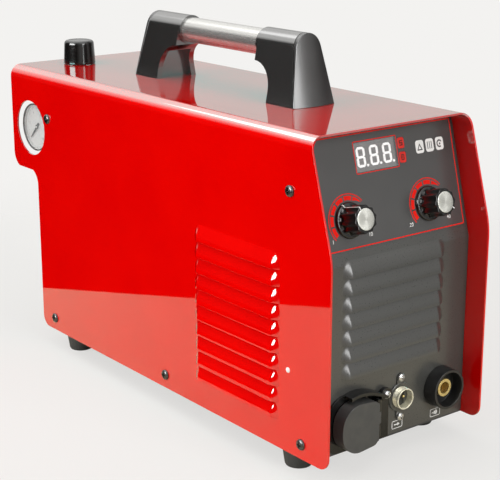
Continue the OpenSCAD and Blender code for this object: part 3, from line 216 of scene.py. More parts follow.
def ring(cx, cy, r, steps):
    """A closed circle."""
    return arc(cx, cy, r, 0, 360, steps)[:-1]


def around(loop):
    """Each member of a closed loop with the next one."""
    return zip(loop, loop[1:] + loop[:1])


def in_loop(point, loop):
    """True if the point lies inside the closed loop."""
    inside = False
    for (x0, y0), (x1, y1) in around(loop):
        if (y0 > point[1]) != (y1 > point[1]) and point[0] < (x1 - x0) * (point[1] - y0) / (y1 - y0) + x0:
            inside = not inside
    return inside


def loop_edges(first, count):
    """The edges of a closed loop of points, numbered from first."""
    return [(first + i, first + (i + 1) % count) for i in range(count)]


def joined(loops):
    """The points of closed loops and the edges between them."""
    points, edges = [], []
    for loop in loops:
        edges += loop_edges(len(points), len(loop))
        points += loop
    return points, edges


def meshed(points, edges, gap):
    """Flat faces between points and edges: their corners, each face with its middle, and which points each
    corner stands for."""
    flat, _, faces, origin, _, _ = delaunay_2d_cdt([Vector(p) for p in points], edges, [], 0, gap)
    middles = [[sum(flat[i][k] for i in face) / len(face) for k in (0, 1)] for face in faces]
    return flat, list(zip(faces, middles)), origin


def band(mesh, a, b):
    """Joins two loops of mesh points by a band of faces."""
    for i in range(len(a)):
        k = (i + 1) % len(a)
        mesh.faces.new([a[i], a[k], b[k], b[i]])


def plate(mesh, faces, high, low):
    """The upper and lower faces of a plate, and walls along its free edges."""
    rim = {}
    for face in faces:
        mesh.faces.new([high[i] for i in face])
        mesh.faces.new([low[i] for i in reversed(face)])
        for edge in around(face):
            rim[edge] = True
    for a, b in rim:
        if (b, a) not in rim:
            mesh.faces.new([high[b], high[a], low[a], low[b]])


def closed(mesh, gap=0):
    """The mesh with points less than gap metres apart merged, and its faces turned outwards."""
    if gap:
        bmesh.ops.remove_doubles(mesh, verts=mesh.verts, dist=gap)
    bmesh.ops.recalc_face_normals(mesh, faces=mesh.faces)
    return mesh


louvre_out, louvre_h, louvre_end, louvre_pitch = 3.6, 11.9, 6.5, 12.1
louvre_rows = [i / 10 for i in range(10)] + [0.98, 1]


def louvre_columns(length):
    """Where the grid of a louvre is cut along its length: close together at both ends."""
    end = [louvre_end * (i / 9) ** 1.2 for i in range(10)]
    return end + [length - e for e in reversed(end)]


def louvre_lift(u, v, length):
    """Height of a louvre over its sheet: u along it in mm, v from its lip at 0 to its root at 1."""
    fall = max(cos(pi / 2 * v), 0)
    reach = louvre_end * (1 - v ** 2.4) ** 0.5
    into = max(louvre_end - min(u, length - u), 0)
    if reach <= into:
        return 0
    return louvre_out * fall ** 1.25 * (1 - (into / reach) ** 1.25)


def pressed_sheet(outline, holes, louvres, creases, thick, fold):
    """A sheet as a closed mesh. Outline and holes are loops on the flat blank in mm; a louvre is the corner
    at its lip, its direction, the direction to its root and its length; creases are lines that the fold
    needs; fold gives the place of a flat point at a height over the blank."""
    points, edges = joined([outline] + holes)
    zones, grids = [], []
    for line in creases:
        edges.append((len(points), len(points) + 1))
        points += line
    for corner, along, up, length in louvres:
        columns = louvre_columns(length)
        grid = {}
        for i, u in enumerate(columns):
            for j, v in enumerate(louvre_rows):
                grid[i, j] = (corner[0] + along[0] * u + up[0] * v * louvre_h,
                              corner[1] + along[1] * u + up[1] * v * louvre_h)
        last, top = len(columns) - 1, len(louvre_rows) - 1
        edge = [(i, 0) for i in range(last)] + [(last, j) for j in range(top)]
        edge += [(i, top) for i in range(last, 0, -1)] + [(0, j) for j in range(top, 0, -1)]
        first = len(points)
        points += [grid[k] for k in edge]
        edges += loop_edges(first, len(edge))
        zones.append([grid[0, 0], grid[last, 0], grid[last, top], grid[0, top]])
        grids.append((grid, {k: first + i for i, k in enumerate(edge)}, columns, length))
    flat, pieces, origin = meshed(points, edges, 1e-4)
    new = {old: i for i, group in enumerate(origin) for old in group}
    places = [(p[0], p[1], 0) for p in flat]
    kept = [list(face) for face, middle in pieces
            if in_loop(middle, outline) and not any(in_loop(middle, h) for h in holes + zones)]
    for grid, shared, columns, length in grids:
        where = {}
        last, top = len(columns) - 1, len(louvre_rows) - 1
        for (i, j), p in grid.items():
            lip = j == 0 and 0 < i < last
            if (i, j) in shared and not lip:
                where[i, j] = new[shared[i, j]]
            else:
                where[i, j] = len(places)
                places.append((p[0], p[1], louvre_lift(columns[i], louvre_rows[j], length)))
        for i in range(last):
            for j in range(top):
                kept.append([where[i, j], where[i + 1, j], where[i + 1, j + 1], where[i, j + 1]])
    used = sorted({i for face in kept for i in face})
    index = {old: i for i, old in enumerate(used)}
    mesh = bmesh.new()
    outer = [mesh.verts.new(fold(*places[i])) for i in used]
    inner = [mesh.verts.new(fold(places[i][0], places[i][1], places[i][2] - thick)) for i in used]
    faces = []
    for face in kept:
        turn = sum(places[a][0] * places[b][1] - places[b][0] * places[a][1] for a, b in around(face))
        faces.append([index[i] for i in face][::1 if turn >= 0 else -1])
    plate(mesh, faces, outer, inner)
    return closed(mesh)


def made(thing):
    """The mesh that an object shows once its modifiers are applied."""
    return bpy.data.meshes.new_from_object(thing.evaluated_get(bpy.context.evaluated_depsgraph_get()))


def settled(piece, kind, **settings):
    """Applies one modifier to the piece's mesh."""
    change = piece.modifiers.new(kind.lower(), kind)
    for key, value in settings.items():
        setattr(change, key, value)
    shaped = made(piece)
    piece.modifiers.clear()
    piece.data = shaped


bodies = frame["record"]["behaviour"]["bodies"]


def plain(name, mesh):
    """Blender's own mesh of that name, from one that is being built."""
    data = bpy.data.meshes.new(name)
    mesh.to_mesh(data)
    mesh.free()
    return data


def finished(name, mesh, material, node, hides=True, bevel=0, segments=2, smooth=35, sharp=50):
    """Turns a mesh in the part's frame into a piece with bevels in mm and smooth curves. It rides with the
    body of its node, takes the material given, and stands for the node if it hides it."""
    data = plain(name, mesh) if isinstance(mesh, bmesh.types.BMesh) else mesh
    data.shade_smooth()
    piece = linked(name, data)
    if bevel:
        settled(piece, "BEVEL", width=bevel * mm, segments=segments, limit_method="ANGLE",
                angle_limit=radians(sharp), miter_outer="MITER_ARC")
    piece.data.set_sharp_from_angle(angle=radians(smooth))
    settled(piece, "WEIGHTED_NORMAL", keep_sharp=True)
    piece.data.name = name
    piece.data.materials.clear()
    piece.data.materials.append(material)
    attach(piece, next(b for b, nodes in bodies.items() if node in nodes))
    if hides:
        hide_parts(node)


# The sheet's outline, from the middle of the top round one half; the other half is its mirror image.
wall_len, corner_r, front_lean, lean_z, lean_r, hood_z, hood_r, hood_turn = 383, 9, 23, 148, 60, 138, 13, 68
top_half = case_w / 2 - bend_r
bend_len = bend_r * pi / 2
lean = atan(front_lean / (case_h - lean_z))
bend_steps = 10


def on_blank(y, z):
    """A point of the side view, as a point on one half of the blank."""
    drop = case_h - bend_r - z
    if drop >= 0:
        return top_half + bend_len + drop, y
    return top_half + bend_r * acos(min(-drop / bend_r, 1)), y


def folded(s, y, lift):
    """Folds the blank: s runs across it from the middle of the top."""
    side = 1 if s > 0 else -1
    over = abs(s) - top_half
    if over <= 0:
        return case_point(s, y, case_h + lift)
    if over < bend_len:
        turn = over / bend_r
        return case_point(side * (top_half + (bend_r + lift) * sin(turn)), y,
                          case_h - bend_r + (bend_r + lift) * cos(turn))
    return case_point(side * (case_w / 2 + lift), y, case_h - bend_r - (over - bend_len))


bend_heights = [case_h - bend_r * (1 - cos(pi / 2 * i / bend_steps)) for i in range(bend_steps + 1)]
front_edge = [(front_lean - (case_h - z) * tan(lean), z) for z in bend_heights]
soften = [(lean_r * (1 - cos(lean * i / 6)), lean_z - lean_r * tan(lean / 2) + lean_r * sin(lean * i / 6))
          for i in range(6, -1, -1)]
lower = arc(corner_r, corner_r, corner_r, 180, 270, 6)
lower += arc(wall_len - corner_r, corner_r, corner_r, -90, 0, 6)
hood_foot = hood_z + hood_r - 2 * hood_r * sin(radians(hood_turn))
hood = arc(wall_len + hood_r, hood_foot, hood_r, 180, 180 - hood_turn, 10)
hood += arc(case_len - hood_r, hood_z + hood_r, hood_r, -hood_turn, 0, 10)
rear_edge = [(case_len, z) for z in reversed(bend_heights)]
half = [on_blank(y, z) for y, z in front_edge + soften + lower + hood + rear_edge]
outline = half + [(-s, y) for s, y in reversed(half)]

side_louvre_len, side_louvre_y, side_louvre_z, side_louvres = 99, 52, 22, 10
cover_screw_places = [(28, 11), (192, 11), (362, 11), (42.16, 188), (362, 188)]
gauge_y, gauge_z, knob_x = 391.5, 176, -24
louvres = [((side * on_blank(0, side_louvre_z + i * louvre_pitch)[0], side_louvre_y), (0, 1), (-side, 0),
            side_louvre_len) for side in (-1, 1) for i in range(side_louvres)]
screw_hole_r, gauge_hole_r, knob_hole_r = 2.2, 23.5, 11.2
holes = [ring(side * on_blank(y, z)[0], y, screw_hole_r, 16)
         for side in (-1, 1) for y, z in cover_screw_places]
holes += [ring(-on_blank(0, gauge_z)[0], gauge_y, gauge_hole_r, 60), ring(knob_x, gauge_y, knob_hole_r, 24)]
creases = [((side * (top_half + bend_len * i / bend_steps), -5),
            (side * (top_half + bend_len * i / bend_steps), case_len + 5))
           for side in (-1, 1) for i in range(bend_steps + 1)]

# Gloss powder coat: melts to a deep even colour under a clear skin, with an orange peel a few mm across. The
# skin is thickest over the bends, where the charge draws most powder, so they shine like the top. Its tint
# makes up for the red that shines through it, so that pale things are mirrored pale.
powder_red, tree, spot = new_material("powder_coat_gloss_red")
peel = add(tree, "ShaderNodeTexNoise", {"Vector": spot}, {"Scale": 1 / (3.5 * mm), "Detail": 1})
relief = add(tree, "ShaderNodeBump", {"Height": peel}, {"Strength": 1, "Distance": 0.004 * mm})
cloud = add(tree, "ShaderNodeTexNoise", {"Vector": spot}, {"Scale": 1 / (60 * mm), "Detail": 2})
tone = add(tree, "ShaderNodeValToRGB", {"Fac": cloud}, stops=[(0.35, "#E20000"), (0.65, "#E80200")])
paint = add(tree, "ShaderNodeBsdfPrincipled", {"Base Color": tone, "Normal": relief},
            {"Roughness": 0.45, "Specular IOR Level": 0.0})
facing = add(tree, "ShaderNodeLayerWeight", {"Normal": relief}, {"Blend": 0.5})
tint = add(tree, "ShaderNodeValToRGB", {"Fac": (facing, "Facing")},
           stops=[(0.81, "#ADFFFC"), (0.95, "#F0F4F2")])
skin = add(tree, "ShaderNodeBsdfGlossy", {"Color": tint, "Normal": relief}, {"Roughness": 0.03})
gloss = add(tree, "ShaderNodeValToRGB", {"Fac": (facing, "Facing")},
            stops=[(0.0, 0.035), (1.0, 1.0), (0.41, 0.1), (0.7, 0.42), (0.85, 0.68)])
height = add(tree, "ShaderNodeSeparateXYZ", {0: spot})
round_bend = add(tree, "ShaderNodeMapRange", {"Value": (height, "Z")},
                 {"From Min": cover_high.z - bend_r * mm, "From Max": cover_high.z})
bend = add(tree, "ShaderNodeValToRGB", {"Fac": round_bend},
           stops=[(0.55, 0.1), (1.0, 0.1), (0.72, 0.42), (0.94, 0.42)])
build = add(tree, "ShaderNodeMath", {0: gloss, 1: bend}, operation="MAXIMUM")
coated = add(tree, "ShaderNodeMixShader", {0: build, 1: paint, 2: skin})
add(tree, "ShaderNodeOutputMaterial", {"Surface": coated})
finished("cover_sheet", pressed_sheet(outline, holes, louvres, creases, sheet_t, folded), powder_red, "cover",
         bevel=0.35)


# ---------- Front panel ----------
# A moulding in dark grey ABS, 2.5 mm thick, with a rim behind its edges: upright below with seven louvres,
# leaning back above where the controls are. Its surface is spark eroded to a fine satin grain.
panel_back, panel_t, rim_len, slope_z, slope = 18, 2.5, 14, 136.7, radians(14.6)
panel_half, panel_top, panel_r, tray_t = 73.2, 225.2, 8.2, 1.5
fold_r = 4
fold_in = fold_r * tan(slope / 2)


def up_panel(z):
    """How far up the panel's face a height lies."""
    if z <= slope_z - fold_in:
        return z
    return slope_z - 2 * fold_in + fold_r * slope + (z - slope_z) / cos(slope)


def panel_fold(x, s, lift):
    """Bends the flat panel back above its lower part; lift is straight out of its face."""
    turn = (s - slope_z + fold_in) / fold_r
    if turn <= 0:
        return case_point(x, panel_back - lift, s)
    if turn < slope:
        return case_point(x, panel_back + fold_r - (fold_r + lift) * cos(turn),
                          slope_z - fold_in + (fold_r + lift) * sin(turn))
    u = s - slope_z + 2 * fold_in - fold_r * slope
    return case_point(x, panel_back + u * sin(slope) - lift * cos(slope),
                      slope_z + u * cos(slope) + lift * sin(slope))


def panel_outline(inset):
    """The panel's outline in x and z, with its lower corners square and its upper corners round."""
    half, top, r = panel_half - inset, panel_top - inset, panel_r - inset
    sides = [(half, tray_t + inset), (half, slope_z)]
    loop = sides + arc(half - r, top - r, r, 0, 90, 10) + arc(-half + r, top - r, r, 90, 180, 10)
    return loop + [(-x, z) for x, z in reversed(sides)]


def rounded(x0, y0, x1, y1, r, steps=5):
    """A rectangle with round corners, as a loop."""
    return (arc(x1 - r, y0 + r, r, -90, 0, steps) + arc(x1 - r, y1 - r, r, 0, 90, steps)
            + arc(x0 + r, y1 - r, r, 90, 180, steps) + arc(x0 + r, y0 + r, r, 180, 270, steps))


def centred(x, y, half_w, half_h, r, steps=5):
    """The same from its middle and half its width and height."""
    return rounded(x - half_w, y - half_h, x + half_w, y + half_h, r, steps)


film_foot = 8.7
base_v = up_panel(slope_z + film_foot * cos(slope))
window, window_v, lamp_x, lamp_places, knob_places = (-24, 50.5, 15, 71.5), 61, 19.75, (56, 66), (-37.5, 37.5)
lamp_half_w, lamp_half_h, knob_v, bush_r = 3.25, 4, 20.7, 3.7
torch_x, torch_z, signal_x, signal_z, signal_screw_out, earth_x, earth_z = -40, 21.5, 8.5, 28.5, 15, 48.5, 27
strap_screw_x, strap_screw_z, small_hole_r, hose_hole_r, earth_hole_r = -8, 35.5, 1.7, 8.2, 10.2
front_louvres, front_louvre_len, front_louvre_z = 7, 97, 55
holes = [ring(x, base_v + knob_v, bush_r, 20) for x in knob_places]
holes.append([(window[0], base_v + window[1]), (window[2], base_v + window[1]),
              (window[2], base_v + window[3]), (window[0], base_v + window[3])])
holes += [centred(lamp_x, base_v + v, lamp_half_w, lamp_half_h, 0.5) for v in lamp_places]
holes += [ring(torch_x, torch_z, hose_hole_r, 32), ring(signal_x, signal_z, hose_hole_r, 32)]
holes.append(ring(earth_x, earth_z, earth_hole_r, 36))
holes += [ring(signal_x, signal_z + s * signal_screw_out, small_hole_r, 16) for s in (-1, 1)]
holes.append(ring(strap_screw_x, strap_screw_z, small_hole_r, 16))
louvres = [((-front_louvre_len / 2, front_louvre_z + i * louvre_pitch), (1, 0), (0, 1), front_louvre_len)
           for i in range(front_louvres)]
creases = [((-90, v), (90, v)) for v in [slope_z - fold_in + fold_r * slope * i / 4 for i in range(5)]]
moulding = pressed_sheet([(x, up_panel(z)) for x, z in panel_outline(0)], holes, louvres, creases, panel_t,
                         panel_fold)
loops = []
for inset in (0, panel_t):
    for back in (panel_t - 0.1, rim_len):
        behind = [case_point(x, panel_back + max(z - slope_z, 0) * tan(slope) + back, z)
                  for x, z in panel_outline(inset)]
        loops.append([moulding.verts.new(p) for p in behind])
for a, b in ((0, 1), (1, 3), (3, 2), (2, 0)):
    band(moulding, loops[a], loops[b])


def material_of(name, tones, size, detail, values=None, dull=None, relief=None, grain=None, lay=None):
    """A material whose surface varies a little. Noise of a size in mm runs between two tones, and between the
    two roughnesses of dull. Relief is the strength and height in mm of bumps that follow the same noise, or
    one with the size and detail of grain. Lay stretches both. Values are the shader's own."""
    material, tree, spot = new_material(name)
    if lay:
        spot = add(tree, "ShaderNodeMapping", {"Vector": spot}, {"Scale": lay})
    drift = add(tree, "ShaderNodeTexNoise", {"Vector": spot}, {"Scale": 1 / (size * mm), "Detail": detail})
    links = {}
    if tones:
        links["Base Color"] = add(tree, "ShaderNodeValToRGB", {"Fac": drift},
                                  stops=[(0.3, tones[0]), (0.7, tones[1])])
    if dull:
        links["Roughness"] = add(tree, "ShaderNodeMapRange", {"Value": drift},
                                 {"To Min": dull[0], "To Max": dull[1]})
    if relief:
        bumps = drift
        if grain:
            bumps = add(tree, "ShaderNodeTexNoise", {"Vector": spot},
                        {"Scale": 1 / (grain[0] * mm), "Detail": grain[1]})
        links["Normal"] = add(tree, "ShaderNodeBump", {"Height": bumps},
                              {"Strength": relief[0], "Distance": relief[1] * mm})
    shader = add(tree, "ShaderNodeBsdfPrincipled", links, values)
    add(tree, "ShaderNodeOutputMaterial", {"Surface": shader})
    return material


# ABS from a spark eroded mould: a satin grain of about 0.3 mm, drawn at 0.8 mm so that it shows.
satin_abs = material_of("moulded_abs_dark_grey", ("#3E3E3B", "#434340"), 0.8, 3, {"IOR": 1.75},
                        dull=(0.24, 0.34), relief=(0.5, 0.02))
finished("front_moulding", closed(moulding), satin_abs, "front_panel", bevel=0.5)


# ---------- Control film ----------
# Half a millimetre of matt polycarbonate stuck on the sloping part, printed dark grey from behind. Red and
# white inks show on it: a border line, a scale round each knob, numbers and three pictograms.
film_t, film_half, film_low, film_high, film_hole_r = 0.5, 71.0, 0.5, 78.95, 5.5


def slope_point(x, v, out):
    """A place on the sloping part: v up it from the controls' base line, out straight from its face."""
    u = film_foot + v
    return case_point(x, panel_back + u * sin(slope) - out * cos(slope),
                      slope_z + u * cos(slope) + out * sin(slope))


def pruned(mesh):
    """Drops the points that no face uses."""
    for v in [v for v in mesh.verts if not v.link_faces]:
        mesh.verts.remove(v)


def slab(mesh, loops, place, low, high):
    """Adds a flat plate to the mesh: everything inside an odd number of the loops, from low to high."""
    flat, faces, _ = meshed(*joined(loops), 1e-5)
    lows = [mesh.verts.new(place(p[0], p[1], low)) for p in flat]
    highs = [mesh.verts.new(place(p[0], p[1], high)) for p in flat]
    kept = [face for face, middle in faces if sum(in_loop(middle, loop) for loop in loops) % 2]
    plate(mesh, kept, highs, lows)
    pruned(mesh)


film = bmesh.new()
slab(film, [rounded(-film_half, film_low, film_half, film_high, 5, 8), rounded(*window, 0.4, 2)]
     + [ring(x, knob_v, film_hole_r, 32) for x in knob_places]
     + [centred(lamp_x, v, lamp_half_w, lamp_half_h, 1.6) for v in lamp_places], slope_point, 0, film_t)

# Polycarbonate film with a fine matt texture of about 0.1 mm, drawn at 0.6 mm so that it shows.
matt_film = material_of("printed_polycarbonate_film", ("#403F3E", "#454443"), 30, 1,
                        {"Roughness": 0.3, "IOR": 1.7}, relief=(0.4, 0.01), grain=(0.6, 2))
finished("control_overlay", closed(film), matt_film, "control_film", bevel=0.12)

# Screen printed ink: an even coat, a little glossier than the film, whose cover varies over some 5 mm.
ink = {"Roughness": 0.55, "IOR": 1.25}
red_ink = material_of("screen_ink_red", ("#E4160A", "#EC1C0E"), 5, 3, ink)
white_ink = material_of("screen_ink_white", ("#EDECE8", "#F4F3F0"), 5, 3, ink)
print_low, print_high = film_t - 0.02, film_t + 0.04


def sector(cx, cy, r0, r1, a, b, r2=None, steps=8):
    """Part of a ring between two angles; r2 is the inner radius at the far end."""
    outer = arc(cx, cy, r1, a, b, steps)
    inner = []
    for i in range(steps, -1, -1):
        t, r = radians(a + (b - a) * i / steps), r0 + ((r2 or r0) - r0) * i / steps
        inner.append((cx + r * cos(t), cy + r * sin(t)))
    return outer + inner


def printed(mesh, *loops):
    """Adds a patch of ink on the film."""
    slab(mesh, loops, slope_point, print_low, print_high)


def grown_window(by, r, steps):
    """The window's outline, larger by so much on every side."""
    return rounded(window[0] - by, window[1] - by, window[2] + by, window[3] + by, r, steps)


red_print = bmesh.new()
printed(red_print, rounded(-69.9, 1.2, 69.9, 77.8, 1.4, 4), rounded(-69.1, 2.0, 69.1, 77.0, 0.6, 4))
printed(red_print, grown_window(0.7, 0.9, 3), grown_window(0.1, 0.3, 2))
scale_start, scale_end, scale_blocks = 220, 40, 6
step, overlap = (scale_end - scale_start) / scale_blocks, 2.2
for x in knob_places:
    printed(red_print, sector(x, knob_v, 17.6, 18.3, scale_start, scale_end, steps=48))
    for i in range(scale_blocks):
        start, end, last = scale_start + i * step, scale_start + (i + 1) * step, i == scale_blocks - 1
        printed(red_print, sector(x, knob_v, 13.6, 16.6, start - overlap, end + (0 if last else overlap),
                                  16.4 if last else None, 10))
finished("red_print", closed(red_print), red_ink, "control_film", hides=False)


def lettering(mesh, text, size, place, x, y, low, high):
    """Adds generic figures, centred on x and standing on y."""
    curve = bpy.data.curves.new("figures", "FONT")
    curve.body, curve.size, curve.align_x = text, size, "CENTER"
    carrier = linked("figures", curve)
    drawn = made(carrier)
    bpy.data.objects.remove(carrier)
    up = [mesh.verts.new(place(x + p.co.x, y + p.co.y, high)) for p in drawn.vertices]
    down = [mesh.verts.new(place(x + p.co.x, y + p.co.y, low)) for p in drawn.vertices]
    plate(mesh, [list(face.vertices) for face in drawn.polygons], up, down)


white_print = bmesh.new()
for figures, x in (("1", -54.1), ("10", -20.2), ("20", 18.6), ("40", 55.6)):
    lettering(white_print, figures, 3.8, slope_point, x, 7.2, print_low, print_high)
for x, holes in (
        (37.2, [[(-2.7, -2.6), (2.7, -2.6), (0, 2.6)], [(-1.3, -1.7), (1.3, -1.7), (0, 0.9)]]),
        (47, [rounded(s - 0.35, -2.7, s + 0.35, 2.7, 0.3, 2) for s in (-1.9, 0, 1.9)]),
        (56.8, [sector(0, 0, 1.7, 2.8, 30, 300, steps=20), ring(0.4, -0.2, 0.8, 16)])):
    printed(white_print, centred(x, window_v, 3.9, 4.6, 2, 6),
            *[[(x + a, window_v + b) for a, b in hole] for hole in holes])
# Two more stand on the panel under the sockets: an arrow and a plug, each in a thin frame.
arrow = [[(-3, -0.4), (0.4, -0.4), (0.4, -1.4), (2.6, 0), (0.4, 1.4), (0.4, 0.4), (-3, 0.4)]]
plug = [[(-3.4, -0.35), (-1.6, -0.35), (-1.6, 0.35), (-3.4, 0.35)], sector(0.4, 0, 0, 1.9, -90, 90),
        [(-1.4, -1.3), (0.3, -1.3), (0.3, 1.3), (-1.4, 1.3)]]
for x, z, signs in ((6.9, 7.5, arrow), (45.7, 6.5, plug)):
    slab(white_print, [centred(x, z, 5.2, 3.1, 1.2), centred(x, z, 4.7, 2.6, 0.7)]
         + [[(x + a, z + b) for a, b in sign] for sign in signs],
         lambda a, b, h: case_point(a, panel_back - h, b), -0.02, 0.04)
finished("white_print", closed(white_print), white_ink, "control_film", hides=False)


# ---------- Display ----------
# Three seven-segment digits in a grey module behind a clear acrylic window that lies flush in the film. The
# segments are white and lit from behind.
# Cast acrylic: clear, and a little scuffed.
clear_acrylic = material_of("clear_acrylic_window", None, 4, 4,
                            {"Base Color": linear("#D8D8D8"), "IOR": 1.49, "Alpha": 0.12},
                            dull=(0.08, 0.16))
pane = bmesh.new()
slab(pane, [grown_window(-0.02, 0.3, 3)], slope_point, film_t - 1, film_t - 0.02)
finished("window_pane", closed(pane), clear_acrylic, "display_window", bevel=0.1)

# Filled epoxy: an even matt grey.
module_grey = material_of("epoxy_filled_display_face", ("#6A6967", "#72716F"), 3, 2, {"Roughness": 0.5})

# Milky epoxy with a lamp behind it: white, and glowing evenly.
segment_white, tree, spot = new_material("lit_segment_diffuser")
cloud = add(tree, "ShaderNodeTexNoise", {"Vector": spot}, {"Scale": 1 / (1.5 * mm), "Detail": 2})
tone = add(tree, "ShaderNodeValToRGB", {"Fac": cloud}, stops=[(0.3, "#F0EFEE"), (0.7, "#FAF9F8")])
lit = add(tree, "ShaderNodeBsdfPrincipled", {"Base Color": tone, "Emission Color": tone},
          {"Roughness": 0.6, "Emission Strength": 0.45})
add(tree, "ShaderNodeOutputMaterial", {"Surface": lit})


def coat(material, *nodes):
    """Gives solids that keep their own shape the finish that they show."""
    for node in nodes:
        piece = frame["nodes"][node]
        piece.data.materials.clear()
        piece.data.materials.append(material)


coat(module_grey, "display_module")
digits = bmesh.new()
digit_h, digit_w, seg, dot_r, digit_places = 14, 7.84, 1.7, 0.9, (-17.5, -5.3, 6.9)
seg_low, seg_high = film_t - 1.6, film_t - 1.1
for x in digit_places:
    bars = [(0, s * (digit_h - seg) / 2, digit_w - seg - 0.2, 0) for s in (-1, 0, 1)]
    bars += [(s * (digit_w - seg) / 2, t * (digit_h - seg) / 4, (digit_h - seg) / 2 - 0.2, 1)
             for s in (-1, 1) for t in (-1, 1)]
    for cx, cy, long, turn in bars:
        tip = seg / 2
        loop = [(-long / 2, 0), (-long / 2 + tip, -tip), (long / 2 - tip, -tip), (long / 2, 0),
                (long / 2 - tip, tip), (-long / 2 + tip, tip)]
        if turn:
            loop = [(-b, a) for a, b in loop]
        slab(digits, [[(x + cx + a, window_v + cy + b) for a, b in loop]], slope_point, seg_low, seg_high)
    dot = ring(x + digit_w / 2 + 1.5, window_v - digit_h / 2 + dot_r, dot_r, 16)
    slab(digits, [dot], slope_point, seg_low, seg_high)
finished("lit_segments", closed(digits), segment_white, "display_segments")


# ---------- Indicator windows ----------
# Two light guides of clear red acrylic, flush in the film beside the display, each with a dark printed sign.
# Red acrylic: a deep, even red under a clear satin face.
red_acrylic = material_of("red_acrylic_light_guide", ("#D02218", "#DC281C"), 4, 1,
                          {"Roughness": 0.3, "IOR": 1.49})
dark_ink = material_of("screen_ink_dark_grey", ("#3A2A28", "#402E2C"), 5, 3, ink)
guides, signs, guide_depth = bmesh.new(), bmesh.new(), 13.9
for v in lamp_places:
    slab(guides, [centred(lamp_x, v, 3.1, 3.85, 1.5)], slope_point, -guide_depth, film_t - 0.02)
hook = [(-1.5, 1.9), (1.5, 1.9), (1.5, 1.2), (-0.7, 1.2), (-0.7, 0.4), (1.5, 0.4), (1.5, -1.9), (-1.5, -1.9),
        (-1.5, -1.2), (0.7, -1.2), (0.7, -0.4), (-1.5, -0.4)]
target = [centred(lamp_x, lamp_places[0], 1.5 - step, 2.1 - step, r)
          for step, r in ((0, 1.2), (0.6, 0.7), (1.2, 0.2))]
for sign in ([[(lamp_x + a, lamp_places[1] + b) for a, b in hook]], target):
    slab(signs, sign, slope_point, film_t - 0.03, print_high)
finished("light_guides", closed(guides), red_acrylic, "indicator_lamps", bevel=0.25)
finished("light_guide_signs", closed(signs), dark_ink, "indicator_lamps", hides=False)


# ---------- Knobs ----------
# Glossy black phenolic knobs, moulded with ten flutes on a thin skirt, with a turned aluminium disc pressed
# into the face and a white filled line over one ridge. They are pushed on the shafts.
knob_h, skirt_r, skirt_t, grip_r, cap_r, flutes, flute_depth = 17, 12.5, 1.8, 10, 7.4, 10, 1.15


def lofted(mesh, rings, close=(True, True)):
    """Joins rings of points to a skin, and closes its ends."""
    rows = [[mesh.verts.new(p) for p in points] for points in rings]
    for a, b in zip(rows, rows[1:]):
        band(mesh, a, b)
    if close[0]:
        mesh.faces.new(list(reversed(rows[0])))
    if close[1]:
        mesh.faces.new(rows[-1])


def flute(turn, r, depth):
    """Radius of the grip at an angle in degrees from a ridge: hollows between broad ridges."""
    phase = (turn % (360 / flutes)) / (360 / flutes)
    return r - depth * max(0, sin(pi * phase)) ** 1.6


# Phenolic: black and glossy, with faint polishing scratches.
phenolic = material_of("moulded_phenolic_black", ("#0A0A0A", "#121212"), 2, 5, {"IOR": 1.6},
                       dull=(0.12, 0.26))

# Aluminium turned on its face: fine rings round the middle, which draw a bright bow tie.
turned_disc, tree, spot = new_material("turned_aluminium")
along = add(tree, "ShaderNodeTangent", direction_type="UV_MAP", uv_map="turning")
rings = add(tree, "ShaderNodeUVMap", uv_map="turning")
groove = add(tree, "ShaderNodeTexNoise", {"Vector": rings}, {"Scale": 40, "Detail": 2})
dull = add(tree, "ShaderNodeMapRange", {"Value": groove}, {"To Min": 0.22, "To Max": 0.34})
metal = add(tree, "ShaderNodeBsdfPrincipled", {"Tangent": along, "Roughness": dull},
            {"Base Color": linear("#E6E6DE"), "Metallic": 0.85, "Anisotropic": 0.7})
add(tree, "ShaderNodeOutputMaterial", {"Surface": metal})

